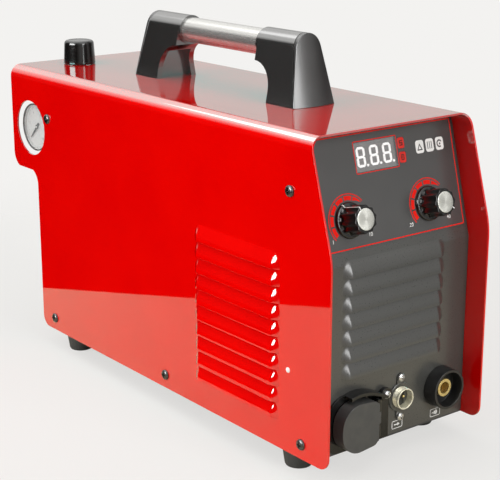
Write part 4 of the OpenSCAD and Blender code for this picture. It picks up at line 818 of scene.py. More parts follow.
for side, x, pointer in (("left", knob_places[0], 115), ("right", knob_places[1], -35)):
    def knob_point(r, turn, out):
        """A place on the knob: radius, angle in degrees seen from the front, height over the film."""
        return slope_point(x + r * cos(radians(turn)), knob_v + r * sin(radians(turn)), film_t + out)

    steps = [i * 2.5 for i in range(144)]
    body = bmesh.new()
    skirt = [(6.5, 3.2, 0), (6.5, 0.4, 0), (skirt_r - 0.4, 0.4, 0), (skirt_r, 0.8, 0),
             (skirt_r - 0.3, skirt_t, 0), (skirt_r - 0.9, skirt_t + 0.5, 0)]
    grip = [(grip_r + 0.5, skirt_t + 0.55, 0.5), (grip_r + 0.2, skirt_t + 1.2, 1), (grip_r, knob_h * 0.6, 1),
            (grip_r - 0.15, knob_h - 0.5, 1), (grip_r - 0.27, knob_h - 0.12, 1), (grip_r - 0.55, knob_h, 1),
            (cap_r + 0.2, knob_h, 0), (cap_r + 0.1, knob_h - 0.2, 0), (cap_r + 0.1, knob_h - 0.8, 0)]
    lofted(body, [[knob_point(flute(t - pointer, r, flute_depth * d) if d else r, t, h) for t in steps]
                  for r, h, d in skirt + grip])
    finished(f"{side}_knob_moulding", closed(body), phenolic, f"{side}_knob", smooth=40)

    disc = bmesh.new()
    turning = disc.loops.layers.uv.new("turning")
    radii = [(cap_r, knob_h - 0.79), (cap_r, knob_h + 0.1), (cap_r - 0.25, knob_h + 0.3),
             (cap_r * 0.6, knob_h + 0.28), (cap_r * 0.3, knob_h + 0.25), (0.05, knob_h + 0.22)]
    lofted(disc, [[knob_point(r, t, h) for t in steps] for r, h in radii])
    closed(disc)
    centre, start = knob_point(0, 0, 0), slope_point(0, 0, 0)
    east, north = slope_point(1, 0, 0) - start, slope_point(0, 1, 0) - start
    for face in disc.faces:
        middle = face.calc_center_median() - centre
        home = atan2(middle.dot(north), middle.dot(east))
        for corner in face.loops:
            spread = corner.vert.co - centre
            a, b = spread.dot(east) / east.length, spread.dot(north) / north.length
            turn = home + (atan2(b, a) - home + pi) % (2 * pi) - pi
            corner[turning].uv = (turn / (2 * pi), hypot(a, b) / (cap_r * mm))
    finished(f"{side}_knob_disc_face", disc, turned_disc, f"{side}_knob_disc", smooth=50)

    line = bmesh.new()
    track = [(cap_r + 0.3, knob_h), (grip_r - 0.55, knob_h), (grip_r - 0.27, knob_h - 0.12),
             (grip_r - 0.15, knob_h - 0.5), (grip_r, knob_h * 0.6), (grip_r + 0.2, skirt_t + 1.2),
             (grip_r + 0.5, skirt_t + 0.6), (skirt_r - 0.9, skirt_t + 0.5), (skirt_r - 0.3, skirt_t),
             (skirt_r, 0.8)]
    lofted(line, [[knob_point(r + a, pointer + b / r * 57.3, h + c) for a, b, c in
                   ((0.06, -0.35, 0.06), (0.06, 0.35, 0.06), (-0.05, 0.35, -0.05), (-0.05, -0.35, -0.05))]
                  for r, h in track])
    finished(f"{side}_knob_line", closed(line), white_ink, f"{side}_knob", hides=False, smooth=60)


# ---------- Torch connection ----------
# Black nylon mouldings: a base plate on the panel, and a hinged cover over the brass hose fitting, which
# swings on a steel pin. A springy polished strap, held by one screw, arches over the cover.
def copied(*nodes):
    """The closed surface of solids, merged, without the lines between their flat triangles."""
    mesh = bmesh.new()
    for node in nodes:
        mesh.from_mesh(frame["nodes"][node].data)
    bmesh.ops.remove_doubles(mesh, verts=mesh.verts, dist=1e-6)
    bmesh.ops.dissolve_limit(mesh, angle_limit=radians(0.5), verts=mesh.verts, edges=mesh.edges)
    return mesh


def dressed(name, node, material, bevel=0.3, segments=2, smooth=35, sharp=50):
    """A solid of the right shape with softened edges in place of its sharp ones."""
    finished(name, copied(node), material, node, bevel=bevel, segments=segments, smooth=smooth, sharp=sharp)


# Glass filled nylon: dark grey, with a satin skin that is a little cloudy.
nylon_grey = material_of("moulded_nylon_dark_grey", ("#404040", "#484846"), 7, 3, {"Roughness": 0.36},
                         relief=(0.4, 0.015), grain=(0.7, 2))
dressed("torch_cover", "torch_flap", nylon_grey, bevel=0.9, segments=4, smooth=50)
# Spring strap: black, polished, with a deep clear shine.
polished_black = material_of("polished_nylon_black", ("#0C0C0C", "#131312"), 5, 1,
                             {"Roughness": 0.1, "IOR": 1.55}, relief=(1, 0.06))
dressed("torch_strap_moulding", "torch_strap", polished_black, bevel=0.5, segments=3, smooth=50)
dressed("torch_plate", "torch_base", polished_black, bevel=0.3)

# Turned brass: warm and fairly bright, with fine tool marks across it.
brass = material_of("turned_brass", ("#D6BE7C", "#E6D194"), 1.5, 4, {"Metallic": 0.75}, dull=(0.2, 0.34),
                    lay=(1, 6, 1))
dressed("torch_hose_fitting", "torch_fitting", brass)

# Zinc plated steel: pale, slightly blue, with a soft patchy shine.
zinc = material_of("zinc_plated_steel", ("#D5D6D8", "#E6E6E4"), 6, 4, {"Metallic": 1}, dull=(0.22, 0.4))
dressed("torch_cover_pin", "torch_hinge_pin", zinc, bevel=0)


# ---------- Sockets ----------
# A round signal connector with a nickel plated brass shell, threaded for the plug's ring, round a black
# insert with two pins; and a bayonet socket for the earth cable, a brass contact in a deep black shroud.
def front_point(x, z, out):
    """A place before the upright part of the panel."""
    return case_point(x, panel_back - out, z)


def turned(mesh, profile, place, steps=48, close=(False, False)):
    """Adds a turned shape: profile gives radius and height, place turns x, y and height into a place."""
    lofted(mesh, [[place(r * cos(2 * pi * i / steps), r * sin(2 * pi * i / steps), h) for i in range(steps)]
                  for r, h in profile], close)


def signal_point(x, y, h):
    """A place on the signal connector, from its middle."""
    return front_point(signal_x + x, signal_z + y, h)


# Nickel plate: bright, with a slight warm tint, and a little duller in patches.
nickel = material_of("nickel_plate", ("#ECE8CE", "#F6F2DE"), 4, 3, {"Metallic": 0.45}, dull=(0.16, 0.28))
shell = bmesh.new()
shell_r, groove_r, bore_r, shell_back = 7.9, 7.55, 6.85, -8.4
thread = [(shell_r if i % 2 else groove_r, 1.3 + i * 0.35) for i in range(10)]
mouth = [(7.6, 4.9), (7.95, 5.2), (7.95, 6.1), (7.6, 6.5), (7.1, 6.5), (bore_r, 6.2), (bore_r, shell_back)]
turned(shell, [(bore_r, shell_back), (shell_r, shell_back), (shell_r, 1.0)] + thread + mouth, signal_point)
finished("signal_shell", closed(shell, 1e-7), nickel, "signal_barrel", smooth=30)

# A dark moulded flange carries the shell's two screws, with a round collar, and lies against the panel.
flange = bmesh.new()
slab(flange, [centred(0, 0, 3.4, 17.4, 3.2, 8)]
     + [ring(0, s * signal_screw_out, small_hole_r, 16) for s in (-1, 1)] + [ring(0, 0, 8, 40)],
     signal_point, 0, 0.88)
turned(flange, [(8.05, 0), (10.9, 0), (10.9, 0.9), (10.5, 1.2), (8.05, 1.2), (8.05, 0)], signal_point)
finished("signal_flange", closed(flange, 1e-7), satin_abs, "signal_barrel", hides=False, bevel=0.12)

# Phenolic insert: matt black, with a keyway at the top.
dark_insert = material_of("moulded_phenolic_matt_black", ("#161615", "#20201F"), 3, 3, dull=(0.38, 0.52))
dressed("signal_insert_moulding", "signal_insert", dark_insert, bevel=0.2)
dressed("signal_contacts", "signal_pins", brass, bevel=0)

# Shroud and contact of the earth socket. Moulded nylon: black, with an even satin shine.
gloss_nylon = material_of("moulded_nylon_black", ("#1B1B1B", "#242424"), 5, 3, dull=(0.26, 0.36))
dressed("earth_socket_shroud", "earth_shroud", gloss_nylon, bevel=0.5, segments=3)
dressed("earth_socket_contact", "earth_contact", brass, bevel=0.35)


# ---------- Screws ----------
# Pan head screws with a cross recess: black oxide steel through the cover, zinc plated at the sockets, under
# the handle and in the feet. A cover screw and a socket screw are modelled and set at their places; the
# screws under the handle and in the feet keep their own solids.
# Black oxide on steel: nearly black under a thin oily shine.
black_oxide = material_of("black_oxide_steel", ("#0D0D0C", "#171716"), 1.5, 3, {"IOR": 1.9}, dull=(0.2, 0.34))


def pan_screw(name, shank_r, head_r, head_h, length):
    """A screw along Z in metres, its head standing on z = 0."""
    mesh = bmesh.new()
    wide, long = head_r * 0.13, head_r * 0.58
    cross = [(long, -wide), (long, wide), (wide, wide), (wide, long), (-wide, long), (-wide, wide),
             (-long, wide), (-long, -wide), (-wide, -wide), (-wide, -long), (wide, -long), (wide, -wide)]
    rings = [ring(0, 0, head_r * f, 32) for f in (1, 0.92, 0.8, 0.68)]
    flat, faces, _ = meshed(*joined(rings + [cross]), 1e-6)

    def dome(p):
        return head_h * (0.35 + 0.65 * sqrt(max(1 - (p.length / head_r) ** 2, 0)))

    top = [mesh.verts.new((p.x * mm, p.y * mm, dome(p) * mm)) for p in flat]
    rim, wall = {}, {}
    for face, middle in faces:
        if in_loop(middle, cross):
            wall.update(dict.fromkeys(around(face)))
        else:
            mesh.faces.new([top[i] for i in face])
            rim.update(dict.fromkeys(around(face)))
    deep = {}
    for i in {k for pair in wall for k in pair}:
        deep[i] = mesh.verts.new((flat[i].x * 0.8 * mm, flat[i].y * 0.8 * mm, head_h * 0.35 * mm))
    for face, _ in faces:
        if all(i in deep for i in face) and (face[0], face[1]) in wall:
            mesh.faces.new([deep[i] for i in face])
    for a, b in wall:
        if (b, a) in rim:
            mesh.faces.new([top[b], top[a], deep[a], deep[b]])
    outer = [i for i, p in enumerate(flat) if abs(p.length - head_r) < 1e-3]
    outer.sort(key=lambda i: atan2(flat[i].y, flat[i].x))
    rows = [[top[i] for i in outer]]
    for r, z in ((1, 0.0), (shank_r / head_r, 0.0), (shank_r / head_r, -length / head_h)):
        places = [(flat[i].x * r * mm, flat[i].y * r * mm, z * head_h * mm) for i in outer]
        rows.append([mesh.verts.new(p) for p in places])
    for a, b in zip(rows, rows[1:]):
        band(mesh, a, b)
    mesh.faces.new(list(reversed(rows[-1])))
    pruned(mesh)
    return plain(name, closed(mesh))


def new_growth(name, inputs, output):
    """An empty Geometry Nodes tree with named inputs of given kinds and one mesh as its output, and the node
    that gives its inputs."""
    tree = bpy.data.node_groups.new(name, "GeometryNodeTree")
    for label, kind in inputs.items():
        tree.interface.new_socket(label, in_out="INPUT", socket_type=f"NodeSocket{kind}")
    tree.interface.new_socket(output, in_out="OUTPUT", socket_type="NodeSocketGeometry")
    return tree, add(tree, "NodeGroupInput")


# Node tree that sets one fixing at every point of a mesh, turned as the point's own attribute says.
fixing_tree, given = new_growth(
    "set_at_points", {"Points": "Geometry", "Fixing": "Object", "Finish": "Material"}, "Fixings")
one = add(fixing_tree, "GeometryNodeObjectInfo", {"Object": (given, "Fixing")})
turns = add(fixing_tree, "GeometryNodeInputNamedAttribute", values={"Name": "turn"}, data_type="FLOAT_VECTOR")
placed = add(fixing_tree, "GeometryNodeInstanceOnPoints",
             {"Points": (given, "Points"), "Instance": (one, "Geometry"), "Rotation": turns})
real = add(fixing_tree, "GeometryNodeRealizeInstances", {0: placed})
dress = add(fixing_tree, "GeometryNodeSetMaterial", {"Geometry": real, "Material": (given, "Finish")})
add(fixing_tree, "NodeGroupOutput", {0: dress})


def grown(tree, carrier, inputs):
    """The plain mesh that a node tree makes from a carrier mesh, with its inputs given by name."""
    grower = linked("carrier", carrier)
    change = grower.modifiers.new("grow", "NODES")
    change.node_group = tree
    for item in tree.interface.items_tree:
        if item.name in inputs:
            change[item.identifier] = inputs[item.name]
    done = made(grower)
    bpy.data.objects.remove(grower)
    return done


def facing(out):
    """The turn that points a fixing's head out that way."""
    return Vector(out).to_track_quat("Z", "Y").to_euler()


def set_at(fixing, places, material):
    """Mesh of a fixing at every place: a point in the part's frame, and a turn."""
    points = bpy.data.meshes.new("points")
    points.from_pydata([p for p, _ in places], [], [])
    turn = points.attributes.new("turn", "FLOAT_VECTOR", "POINT")
    for i, (_, angles) in enumerate(places):
        turn.data[i].vector = angles
    model = linked("model", fixing)
    done = grown(fixing_tree, points, {"Fixing": model, "Finish": material})
    bpy.data.objects.remove(model)
    return done


places = [(case_point(side * case_w / 2, y, z), facing((side, 0, 0)))
          for side in (-1, 1) for y, z in cover_screw_places]
finished("cover_screw_set", set_at(pan_screw("cover_screw", 2, 4, 2.4, 6), places, black_oxide), black_oxide,
         "cover_screws", smooth=40)
places = [(signal_point(0, s * signal_screw_out, 0.9), facing((0, -1, 0))) for s in (-1, 1)]
places.append((front_point(strap_screw_x, strap_screw_z, 4), facing((0, -1, 0))))
finished("socket_screw_set", set_at(pan_screw("socket_screw", 1.5, 3, 2, 8), places, zinc), zinc,
         "socket_screws", smooth=40)
coat(zinc, "handle_screws", "foot_screws")

# White nylon rivets plug the unused tooling holes of the side walls: plain, pale and satin.
white_nylon = material_of("moulded_nylon_white", ("#E8E7E4", "#F2F1EF"), 2, 2, {"Roughness": 0.4})
rivets, rivet_y, rivet_z = bmesh.new(), 42.7, 61.4
for side in (-1, 1):
    turned(rivets, [(2.0, -0.2), (2.0, 0.15), (1.8, 0.45), (1.2, 0.75), (0.5, 0.88), (0.05, 0.9)],
           lambda a, b, h: case_point(side * (case_w / 2 + h), rivet_y + a, rivet_z + b), 24, (True, True))
finished("tooling_rivets", closed(rivets), white_nylon, "cover_screws", hides=False)


# ---------- Handle ----------
# Two moulded posts of black glass filled nylon hold a satin anodised aluminium tube between them. Each post
# is screwed to the cover from below, and a semi-gloss cap closes its end over the screws.
# Glass filled nylon with a fine leather grain of some 0.6 mm: nearly black, satin.
nylon_black, tree, spot = new_material("glass_filled_nylon_black")
grain = add(tree, "ShaderNodeTexVoronoi", {"Vector": spot}, {"Scale": 1 / (0.6 * mm)})
cloud = add(tree, "ShaderNodeTexNoise", {"Vector": spot}, {"Scale": 1 / (25 * mm), "Detail": 2})
tone = add(tree, "ShaderNodeValToRGB", {"Fac": cloud}, stops=[(0.3, "#181817"), (0.7, "#1D1D1C")])
relief = add(tree, "ShaderNodeBump", {"Height": (grain, "Distance")},
             {"Strength": 0.2, "Distance": 0.02 * mm})
nylon = add(tree, "ShaderNodeBsdfPrincipled", {"Base Color": tone, "Normal": relief},
            {"Roughness": 0.18, "IOR": 3.0})
add(tree, "ShaderNodeOutputMaterial", {"Surface": nylon})
dressed("front_post_moulding", "front_post", nylon_black, bevel=0.8, segments=3, smooth=50, sharp=30)
dressed("rear_post_moulding", "rear_post", nylon_black, bevel=0.8, segments=3, smooth=50, sharp=30)

# ABS from a smooth mould: black, with a soft clear shine.
abs_cap = material_of("moulded_abs_semi_gloss_black", ("#1B1B1A", "#202020"), 12, 3, {"IOR": 1.9},
                      dull=(0.26, 0.34))
crown = 8.5
for end, out in (("front", -1), ("rear", 1)):
    cap = copied(f"{end}_end_cap")
    low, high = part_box(f"{end}_end_cap")
    # Cuts every 2 mm across the cap let its outer face bulge.
    for i in range(int(low.x / mm) + 1, int(high.x / mm), 2):
        bmesh.ops.bisect_plane(cap, geom=cap.verts[:] + cap.edges[:] + cap.faces[:], dist=1e-7,
                               plane_co=(i * mm, 0, 0), plane_no=(1, 0, 0))
    for face in cap.faces:
        if face.normal.y * out > 0.9:
            for v in face.verts:
                v.tag = True
    for v in cap.verts:
        if v.tag:
            v.co.y -= out * crown * v.co.x ** 2
    finished(f"{end}_cap_moulding", cap, abs_cap, f"{end}_end_cap", bevel=0.5, segments=2, smooth=40)

# Anodised aluminium, brushed along the tube before anodising: pale and satin, with long fine lines.
anodised = material_of("satin_anodised_aluminium", ("#B4B4B1", "#BFBEBB"), 0.5, 3, {"Metallic": 0.8},
                       dull=(0.2, 0.32), relief=(0.3, 0.01), lay=(1, 0.02, 1))
dressed("grip_tube_extrusion", "grip_tube", anodised, bevel=0.2)


# ---------- Air regulator ----------
# Under the hood: a die cast filter regulator with its bonnet, clear bowl and drain valve, on a plated
# bracket. Its knob comes up through the top of the cover, and its gauge faces the hole in the left side.
reg_x, reg_y = knob_x, gauge_y


def regulator_point(x, y, h):
    """A place on the regulator: h over the cover's top."""
    return case_point(reg_x + x, reg_y + y, case_h + h)


# Acetal: black and glossy.
acetal = material_of("moulded_acetal_black", ("#0E0E0D", "#141413"), 6, 2, {"IOR": 1.55}, dull=(0.1, 0.16))
knob = bmesh.new()
turned(knob, [(5.2, 12.8), (5.2, 0.4), (13.3, 0.4), (13.7, 0.9), (13.65, 2), (12.85, 17.2), (12.6, 18.6),
              (11.9, 19.7), (10.8, 20.3), (9.6, 20.45), (9.0, 20.3), (8.6, 20.1), (4, 20.1), (0.05, 20.1)],
       regulator_point, 64, (True, True))
finished("pressure_knob_moulding", closed(knob), acetal, "regulator_knob", smooth=50)

# Die cast zinc under a dark grey stove enamel: satin, slightly uneven.
enamel_grey = material_of("stove_enamel_dark_grey", ("#3A3A3C", "#434345"), 4, 3, {"Roughness": 0.35},
                          relief=(0.5, 0.05))
dressed("regulator_casting", "regulator_body", enamel_grey, bevel=0.8)
dressed("regulator_bonnet_moulding", "regulator_bonnet", dark_insert, bevel=0.5)
dressed("regulator_spring_screw", "regulator_stem", zinc, bevel=0.2)
dressed("regulator_clamp_plate", "regulator_bracket", zinc, bevel=0.3)

# Polycarbonate bowl: clear with a blue cast.
clear_bowl = material_of("moulded_polycarbonate_clear", None, 8, 2,
                         {"Base Color": linear("#D3DEE4"), "IOR": 1.58, "Alpha": 0.45}, dull=(0.08, 0.2))
dressed("filter_bowl_moulding", "filter_bowl", clear_bowl, bevel=0.4)
dressed("drain_valve_button", "drain_valve", dark_insert, bevel=0.3)
dressed("air_inlet_tail", "air_inlet", brass, bevel=0.3)

# Extruded rubber: dark, dull and slightly uneven.
rubber_hose = material_of("extruded_rubber_black", ("#292A28", "#343533"), 2, 4, {"Roughness": 0.62},
                          relief=(0.6, 0.05))
dressed("air_hose", "air_outlet", rubber_hose, bevel=0, smooth=50)


# ---------- Gauge ----------
# A 40 mm pressure gauge: a black pressed steel case with a rolled rim, a white printed dial, a black pointer
# on its arbor, and a flat glass.
gauge_x, dial_r, figure_r, sweep, dial_depth = -case_w / 2 + 3.6, 17.4, 13.0, 270, -3.07


def gauge_point(a, b, h):
    """A place on the gauge: a to the rear, b up, h out of its face."""
    return case_point(gauge_x - h, gauge_y + a, gauge_z + b)


case = bmesh.new()
turned(case, [(19.5, -8), (19.5, -0.5), (19.8, -0.05), (20.2, 0), (20.5, -0.4), (20.5, -21.5), (20, -22),
              (7, -22), (7, -27.6), (4.45, -27.6), (4.45, -34.8), (0.05, -34.8)], gauge_point, 64,
       (False, True))
slab(case, [ring(0, 0, 19.5, 64)], gauge_point, -8.6, -8)
finished("gauge_case_pressing", closed(case, 1e-6), black_oxide, "gauge_case", smooth=40)

# White enamel on sheet: pale and nearly matt.
dial_paint = material_of("printed_dial_enamel_white", ("#C6C6C4", "#CECECC"), 6, 2, {"Roughness": 0.5})
dressed("gauge_dial_plate", "gauge_dial", dial_paint, bevel=0)
bezel = bmesh.new()
turned(bezel, [(19.45, -3.05), (19.45, -1.35), (19.1, -1.35), (18.9, -3.05), (19.45, -3.05)], gauge_point, 64)
finished("gauge_inner_bezel", closed(bezel, 1e-6), dial_paint, "gauge_dial", hides=False)

# Node tree for a scale: marks on a ring, spread evenly over a sweep.
scale_tree, given = new_growth("scale_marks", {
    "Marks": "Int", "Radius": "Float", "Start": "Float", "Step": "Float", "Mark length": "Float",
    "Mark width": "Float", "Ink": "Material"}, "Scale")
points = add(scale_tree, "GeometryNodeMeshLine", {"Count": (given, "Marks")}, {"Offset": (0, 0, 0)})
index = add(scale_tree, "GeometryNodeInputIndex")
swept = add(scale_tree, "ShaderNodeMath", {0: index, 1: (given, "Step"), 2: (given, "Start")},
            operation="MULTIPLY_ADD")
turn = add(scale_tree, "ShaderNodeCombineXYZ", {"Z": swept})
size = add(scale_tree, "ShaderNodeCombineXYZ", {"X": (given, "Mark length"), "Y": (given, "Mark width")},
           {"Z": 0.00004})
block = add(scale_tree, "GeometryNodeMeshCube", {"Size": size})
reach = add(scale_tree, "ShaderNodeCombineXYZ", {"X": (given, "Radius")})
moved = add(scale_tree, "GeometryNodeTransform", {"Geometry": block, "Translation": reach})
spread = add(scale_tree, "GeometryNodeInstanceOnPoints",
             {"Points": points, "Instance": moved, "Rotation": turn})
real = add(scale_tree, "GeometryNodeRealizeInstances", {0: spread})
inked = add(scale_tree, "GeometryNodeSetMaterial", {"Geometry": real, "Material": (given, "Ink")})
add(scale_tree, "NodeGroupOutput", {0: inked})
grey_ink = material_of("dial_ink_grey", ("#6E6E6C", "#787876"), 5, 3, ink)
marks = bmesh.new()
for count, length, wide in ((51, 1.1, 0.15), (11, 2.0, 0.3)):
    scale = grown(scale_tree, bpy.data.meshes.new("dial"), {
        "Marks": count, "Radius": (dial_r - length / 2) * mm, "Start": radians(-sweep / 2),
        "Step": radians(sweep / (count - 1)), "Mark length": length * mm, "Mark width": wide * mm,
        "Ink": grey_ink})
    marks.from_mesh(scale)
for v in marks.verts:
    x, y, z = v.co
    v.co = gauge_point(-y / mm, x / mm, dial_depth + z / mm)
for i in range(0, 11, 2):
    turn = radians(225 - i * sweep / 10)
    lettering(marks, str(i), 3.0, gauge_point, -figure_r * cos(turn), figure_r * sin(turn) - 1.0,
              dial_depth - 0.05, dial_depth + 0.03)
finished("gauge_scale", closed(marks), grey_ink, "gauge_dial", hides=False)
dressed("gauge_pointer", "gauge_needle", black_oxide, bevel=0.08)

# Flat glass: clear, with faint smears in its shine.
lens = material_of("flat_gauge_glass", None, 10, 4,
                   {"Base Color": linear("#E6EAEA"), "IOR": 1.5, "Alpha": 0.1}, dull=(0.04, 0.12))
dressed("gauge_window", "gauge_glass", lens, bevel=0.15)


# ---------- Rear panel and tray ----------
# Folded sheets of 1.5 mm steel in a fine textured charcoal powder coat: the tray carries everything, and the
# rear panel stands on it, punched for the fan, the switch, the cord gland and the air inlet.
# Textured powder coat: charcoal and satin, with a grit of about 0.9 mm.
powder_grey = material_of("powder_coated_steel_charcoal", ("#39393A", "#3F3F40"), 20, 2, {"Roughness": 0.42},
                          relief=(0.5, 0.04), grain=(0.9, 3))
dressed("rear_sheet", "rear_panel", powder_grey, bevel=0.3)
dressed("tray_sheet", "base_tray", powder_grey, bevel=0.3)


# ---------- Fan ----------
# A 92 mm axial fan moulded in black nylon: a frame with four struts, and a rotor of seven blades. Outside, a
# nickel plated wire guard is held by four screws.
dressed("fan_frame_moulding", "fan_frame", gloss_nylon, bevel=0.3)
fan_low, fan_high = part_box("fan_frame")
fan_middle = (fan_low + fan_high) / 2
fan_depth = (fan_high.y - fan_low.y) / mm
blade_count, hub_r, blade_r = 7, 18, 41.6


def fan_point(x, y, h):
    """A place from the fan's front face: x and y across it, h towards the rear."""
    return Vector((fan_middle.x + x * mm, fan_low.y + h * mm, fan_middle.z + y * mm))


blade = bpy.data.meshes.new("fan_blade")
rows, columns = 9, 7
rim = []
for i in range(rows):
    r = hub_r - 1 + (blade_r - hub_r + 1) * i / (rows - 1)
    for j in range(columns):
        along = j / (columns - 1)
        turn = (0.72 - 0.12 * i / (rows - 1)) * (along - 0.5) + 0.25 * (i / (rows - 1)) ** 1.6
        lift = 6 + 15.5 * (along ** 1.25) * (1 - 0.22 * i / (rows - 1))
        rim.append((r * sin(turn) * mm, lift * mm, r * cos(turn) * mm))
corners = [i * columns + j for i in range(rows - 1) for j in range(columns - 1)]
blade.from_pydata(rim, [], [(k, k + 1, k + columns + 1, k + columns) for k in corners])
skin = linked("blade", blade)
settled(skin, "SOLIDIFY", thickness=1.4 * mm, offset=0)
settled(skin, "SUBSURF", levels=1, render_levels=1)
rotor = bmesh.new()
rotor.from_mesh(set_at(skin.data, [(fan_point(0, 0, 0), (0, 2 * pi * i / blade_count, 0))
                                   for i in range(blade_count)], gloss_nylon))
bpy.data.objects.remove(skin)
turned(rotor, [(2.6, 4), (hub_r - 1, 4), (hub_r, 5), (hub_r, 21.5), (hub_r - 1.2, 23.4), (hub_r - 3, 23.9),
               (5, 23.9), (4.4, 23.5), (0.05, 23.5)], fan_point, 48, (False, True))
finished("fan_rotor_moulding", closed(rotor), gloss_nylon, "fan_rotor", smooth=40)

# Node tree for the guard: rings of wire, and spokes that cross under them.
guard_tree, given = new_growth("wire_guard", {
    "Rings": "Int", "First radius": "Float", "Spacing": "Float", "Spokes": "Int", "Spoke start": "Float",
    "Spoke end": "Float", "Spoke depth": "Float", "Wire radius": "Float", "Plating": "Material"}, "Guard")
index = add(guard_tree, "GeometryNodeInputIndex")
middles = add(guard_tree, "GeometryNodeMeshLine", {"Count": (given, "Rings")}, {"Offset": (0, 0, 0)})
hoop = add(guard_tree, "GeometryNodeCurvePrimitiveCircle", values={"Resolution": 72, "Radius": 1})
radius = add(guard_tree, "ShaderNodeMath", {0: index, 1: (given, "Spacing"), 2: (given, "First radius")},
             operation="MULTIPLY_ADD")
hoops = add(guard_tree, "GeometryNodeInstanceOnPoints",
            {"Points": middles, "Instance": hoop, "Scale": radius})
hubs = add(guard_tree, "GeometryNodeMeshLine", {"Count": (given, "Spokes")}, {"Offset": (0, 0, 0)})
inner = add(guard_tree, "ShaderNodeCombineXYZ", {"X": (given, "Spoke start"), "Z": (given, "Spoke depth")})
outer = add(guard_tree, "ShaderNodeCombineXYZ", {"X": (given, "Spoke end"), "Z": (given, "Spoke depth")})
rod = add(guard_tree, "GeometryNodeCurvePrimitiveLine", {"Start": inner, "End": outer})
share = add(guard_tree, "ShaderNodeMath", {0: index, 1: (given, "Spokes")}, operation="DIVIDE")
swing = add(guard_tree, "ShaderNodeMath", {0: share}, {1: 2 * pi, 2: pi / 4}, operation="MULTIPLY_ADD")
angle = add(guard_tree, "ShaderNodeCombineXYZ", {"Z": swing})
rods = add(guard_tree, "GeometryNodeInstanceOnPoints", {"Points": hubs, "Instance": rod, "Rotation": angle})
both = add(guard_tree, "GeometryNodeJoinGeometry", {0: rods})
guard_tree.links.new(hoops.outputs[0], both.inputs[0])
paths = add(guard_tree, "GeometryNodeRealizeInstances", {0: both})
wire = add(guard_tree, "GeometryNodeCurvePrimitiveCircle", {"Radius": (given, "Wire radius")},
           {"Resolution": 10})
swept = add(guard_tree, "GeometryNodeCurveToMesh", {"Curve": paths, "Profile Curve": wire},
            {"Fill Caps": True})
plated = add(guard_tree, "GeometryNodeSetMaterial", {"Geometry": swept, "Material": (given, "Plating")})
add(guard_tree, "NodeGroupOutput", {0: plated})
fan_pitch = 82.5
guard = bmesh.new()
guard.from_mesh(grown(guard_tree, bpy.data.meshes.new("guard"), {
    "Rings": 5, "First radius": 10 * mm, "Spacing": 8.2 * mm, "Spokes": 4, "Spoke start": 9 * mm,
    "Spoke end": (fan_pitch / sqrt(2) - 3.5) * mm, "Spoke depth": 1.3 * mm, "Wire radius": 1.1 * mm,
    "Plating": nickel}))
guard_back = fan_depth + 1.5
for v in guard.verts:
    v.co = fan_point(v.co.x / mm, v.co.y / mm, guard_back + 1.9 + v.co.z / mm)
fan_corners = [(x * fan_pitch / 2, y * fan_pitch / 2) for x in (-1, 1) for y in (-1, 1)]
for x, y in fan_corners:
    turned(guard, [(2.4, 0.1), (4.3, 0.1), (4.5, 0.4), (4.5, 1.7), (4.3, 2), (2.4, 2), (2.4, 0.1)],
           lambda a, b, h: fan_point(x + a, y + b, guard_back + h), 24)
finished("guard_wires", closed(guard, 1e-6), nickel, "fan_guard", smooth=50)
places = [(fan_point(x, y, guard_back + 2), facing((0, 1, 0))) for x, y in fan_corners]
finished("guard_screws", set_at(pan_screw("guard_screw", 2, 3.5, 2, 12), places, zinc), zinc, "fan_guard",
         smooth=40)


# ---------- Power switch ----------
# A snap-in rocker switch: a black moulded nylon frame that clips into the rear panel, and a red
# polycarbonate rocker.
dressed("switch_frame", "power_switch", gloss_nylon, bevel=0.5, segments=3)
# Polycarbonate from a polished mould: an even glossy red.
rocker_red = material_of("moulded_polycarbonate_red", ("#B41410", "#BE1A14"), 5, 2, {"IOR": 1.58},
                         dull=(0.16, 0.24))
dressed("switch_rocker_moulding", "switch_rocker", rocker_red, bevel=0.4, segments=3, smooth=50)


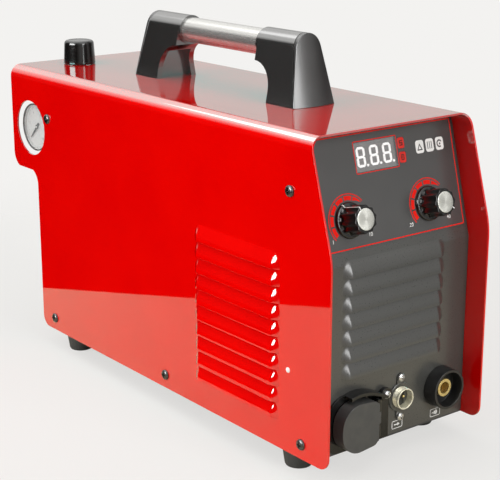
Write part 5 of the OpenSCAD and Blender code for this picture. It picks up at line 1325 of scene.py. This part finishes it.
# ---------- Cord gland ----------
# Black nylon: a six-sided body and a lock nut grip the rear panel, and a clamping nut outside would close on
# the cord. The gland is empty.
dressed("gland_mouldings", "cord_gland", gloss_nylon, bevel=0.5, segments=3)


# ---------- Feet ----------
# Four bumpers of black rubber, tapered towards the table. Each is screwed up into the tray, with the head of
# its screw deep in a hole from below.
foot_r, foot_low_r, foot_h, foot_x, foot_y = 12, 10, 15, 60, (48, 345)
bumper = bmesh.new()
turned(bumper, [(2.2, 15), (2.2, 8), (5.5, 8), (5.5, 0.3), (5.8, 0), (foot_low_r - 1.5, 0),
                (foot_low_r - 0.6, 0.4), (foot_low_r, 1.5), (foot_r, foot_h - 1), (foot_r - 0.8, foot_h),
                (2.2, 15)], lambda a, b, h: Vector((a, b, h)) * mm, 40)
places = [(case_point(s * foot_x, y, -foot_h), (0, 0, 0)) for s in (-1, 1) for y in foot_y]
finished("rubber_feet", set_at(plain("foot", closed(bumper, 1e-7)), places, rubber_hose), rubber_hose, "feet",
         smooth=40)


# ---------- Inside ----------
# Seen only through the openings: circuit boards of glass epoxy under green lacquer, extruded aluminium heat
# sinks, a ferrite transformer, a solenoid valve, and the two potentiometers behind the panel.
# Green lacquer over woven glass: dark, cloudy and fairly glossy.
laminate, tree, spot = new_material("glass_epoxy_laminate_green")
weave = add(tree, "ShaderNodeTexNoise", {"Vector": spot}, {"Scale": 1 / (3 * mm), "Detail": 4})
tone = add(tree, "ShaderNodeValToRGB", {"Fac": weave}, stops=[(0.35, "#1D4A2A"), (0.65, "#28603A")])
lacquer = add(tree, "ShaderNodeBsdfPrincipled", {"Base Color": tone}, {"Roughness": 0.3})
add(tree, "ShaderNodeOutputMaterial", {"Surface": lacquer})
coat(laminate, "power_board", "control_board")
# Sintered ferrite: matt, stony and dark.
ferrite = material_of("sintered_ferrite", ("#35322F", "#47423D"), 1.5, 4, {"Roughness": 0.6})
coat(ferrite, "transformer")
coat(anodised, "heat_sinks")
coat(zinc, "solenoid_valve", "potentiometers", "left_knob_shaft", "right_knob_shaft")


# ---------- Size ----------
# The box in metres of everything that shows, without the stage.
low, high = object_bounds()
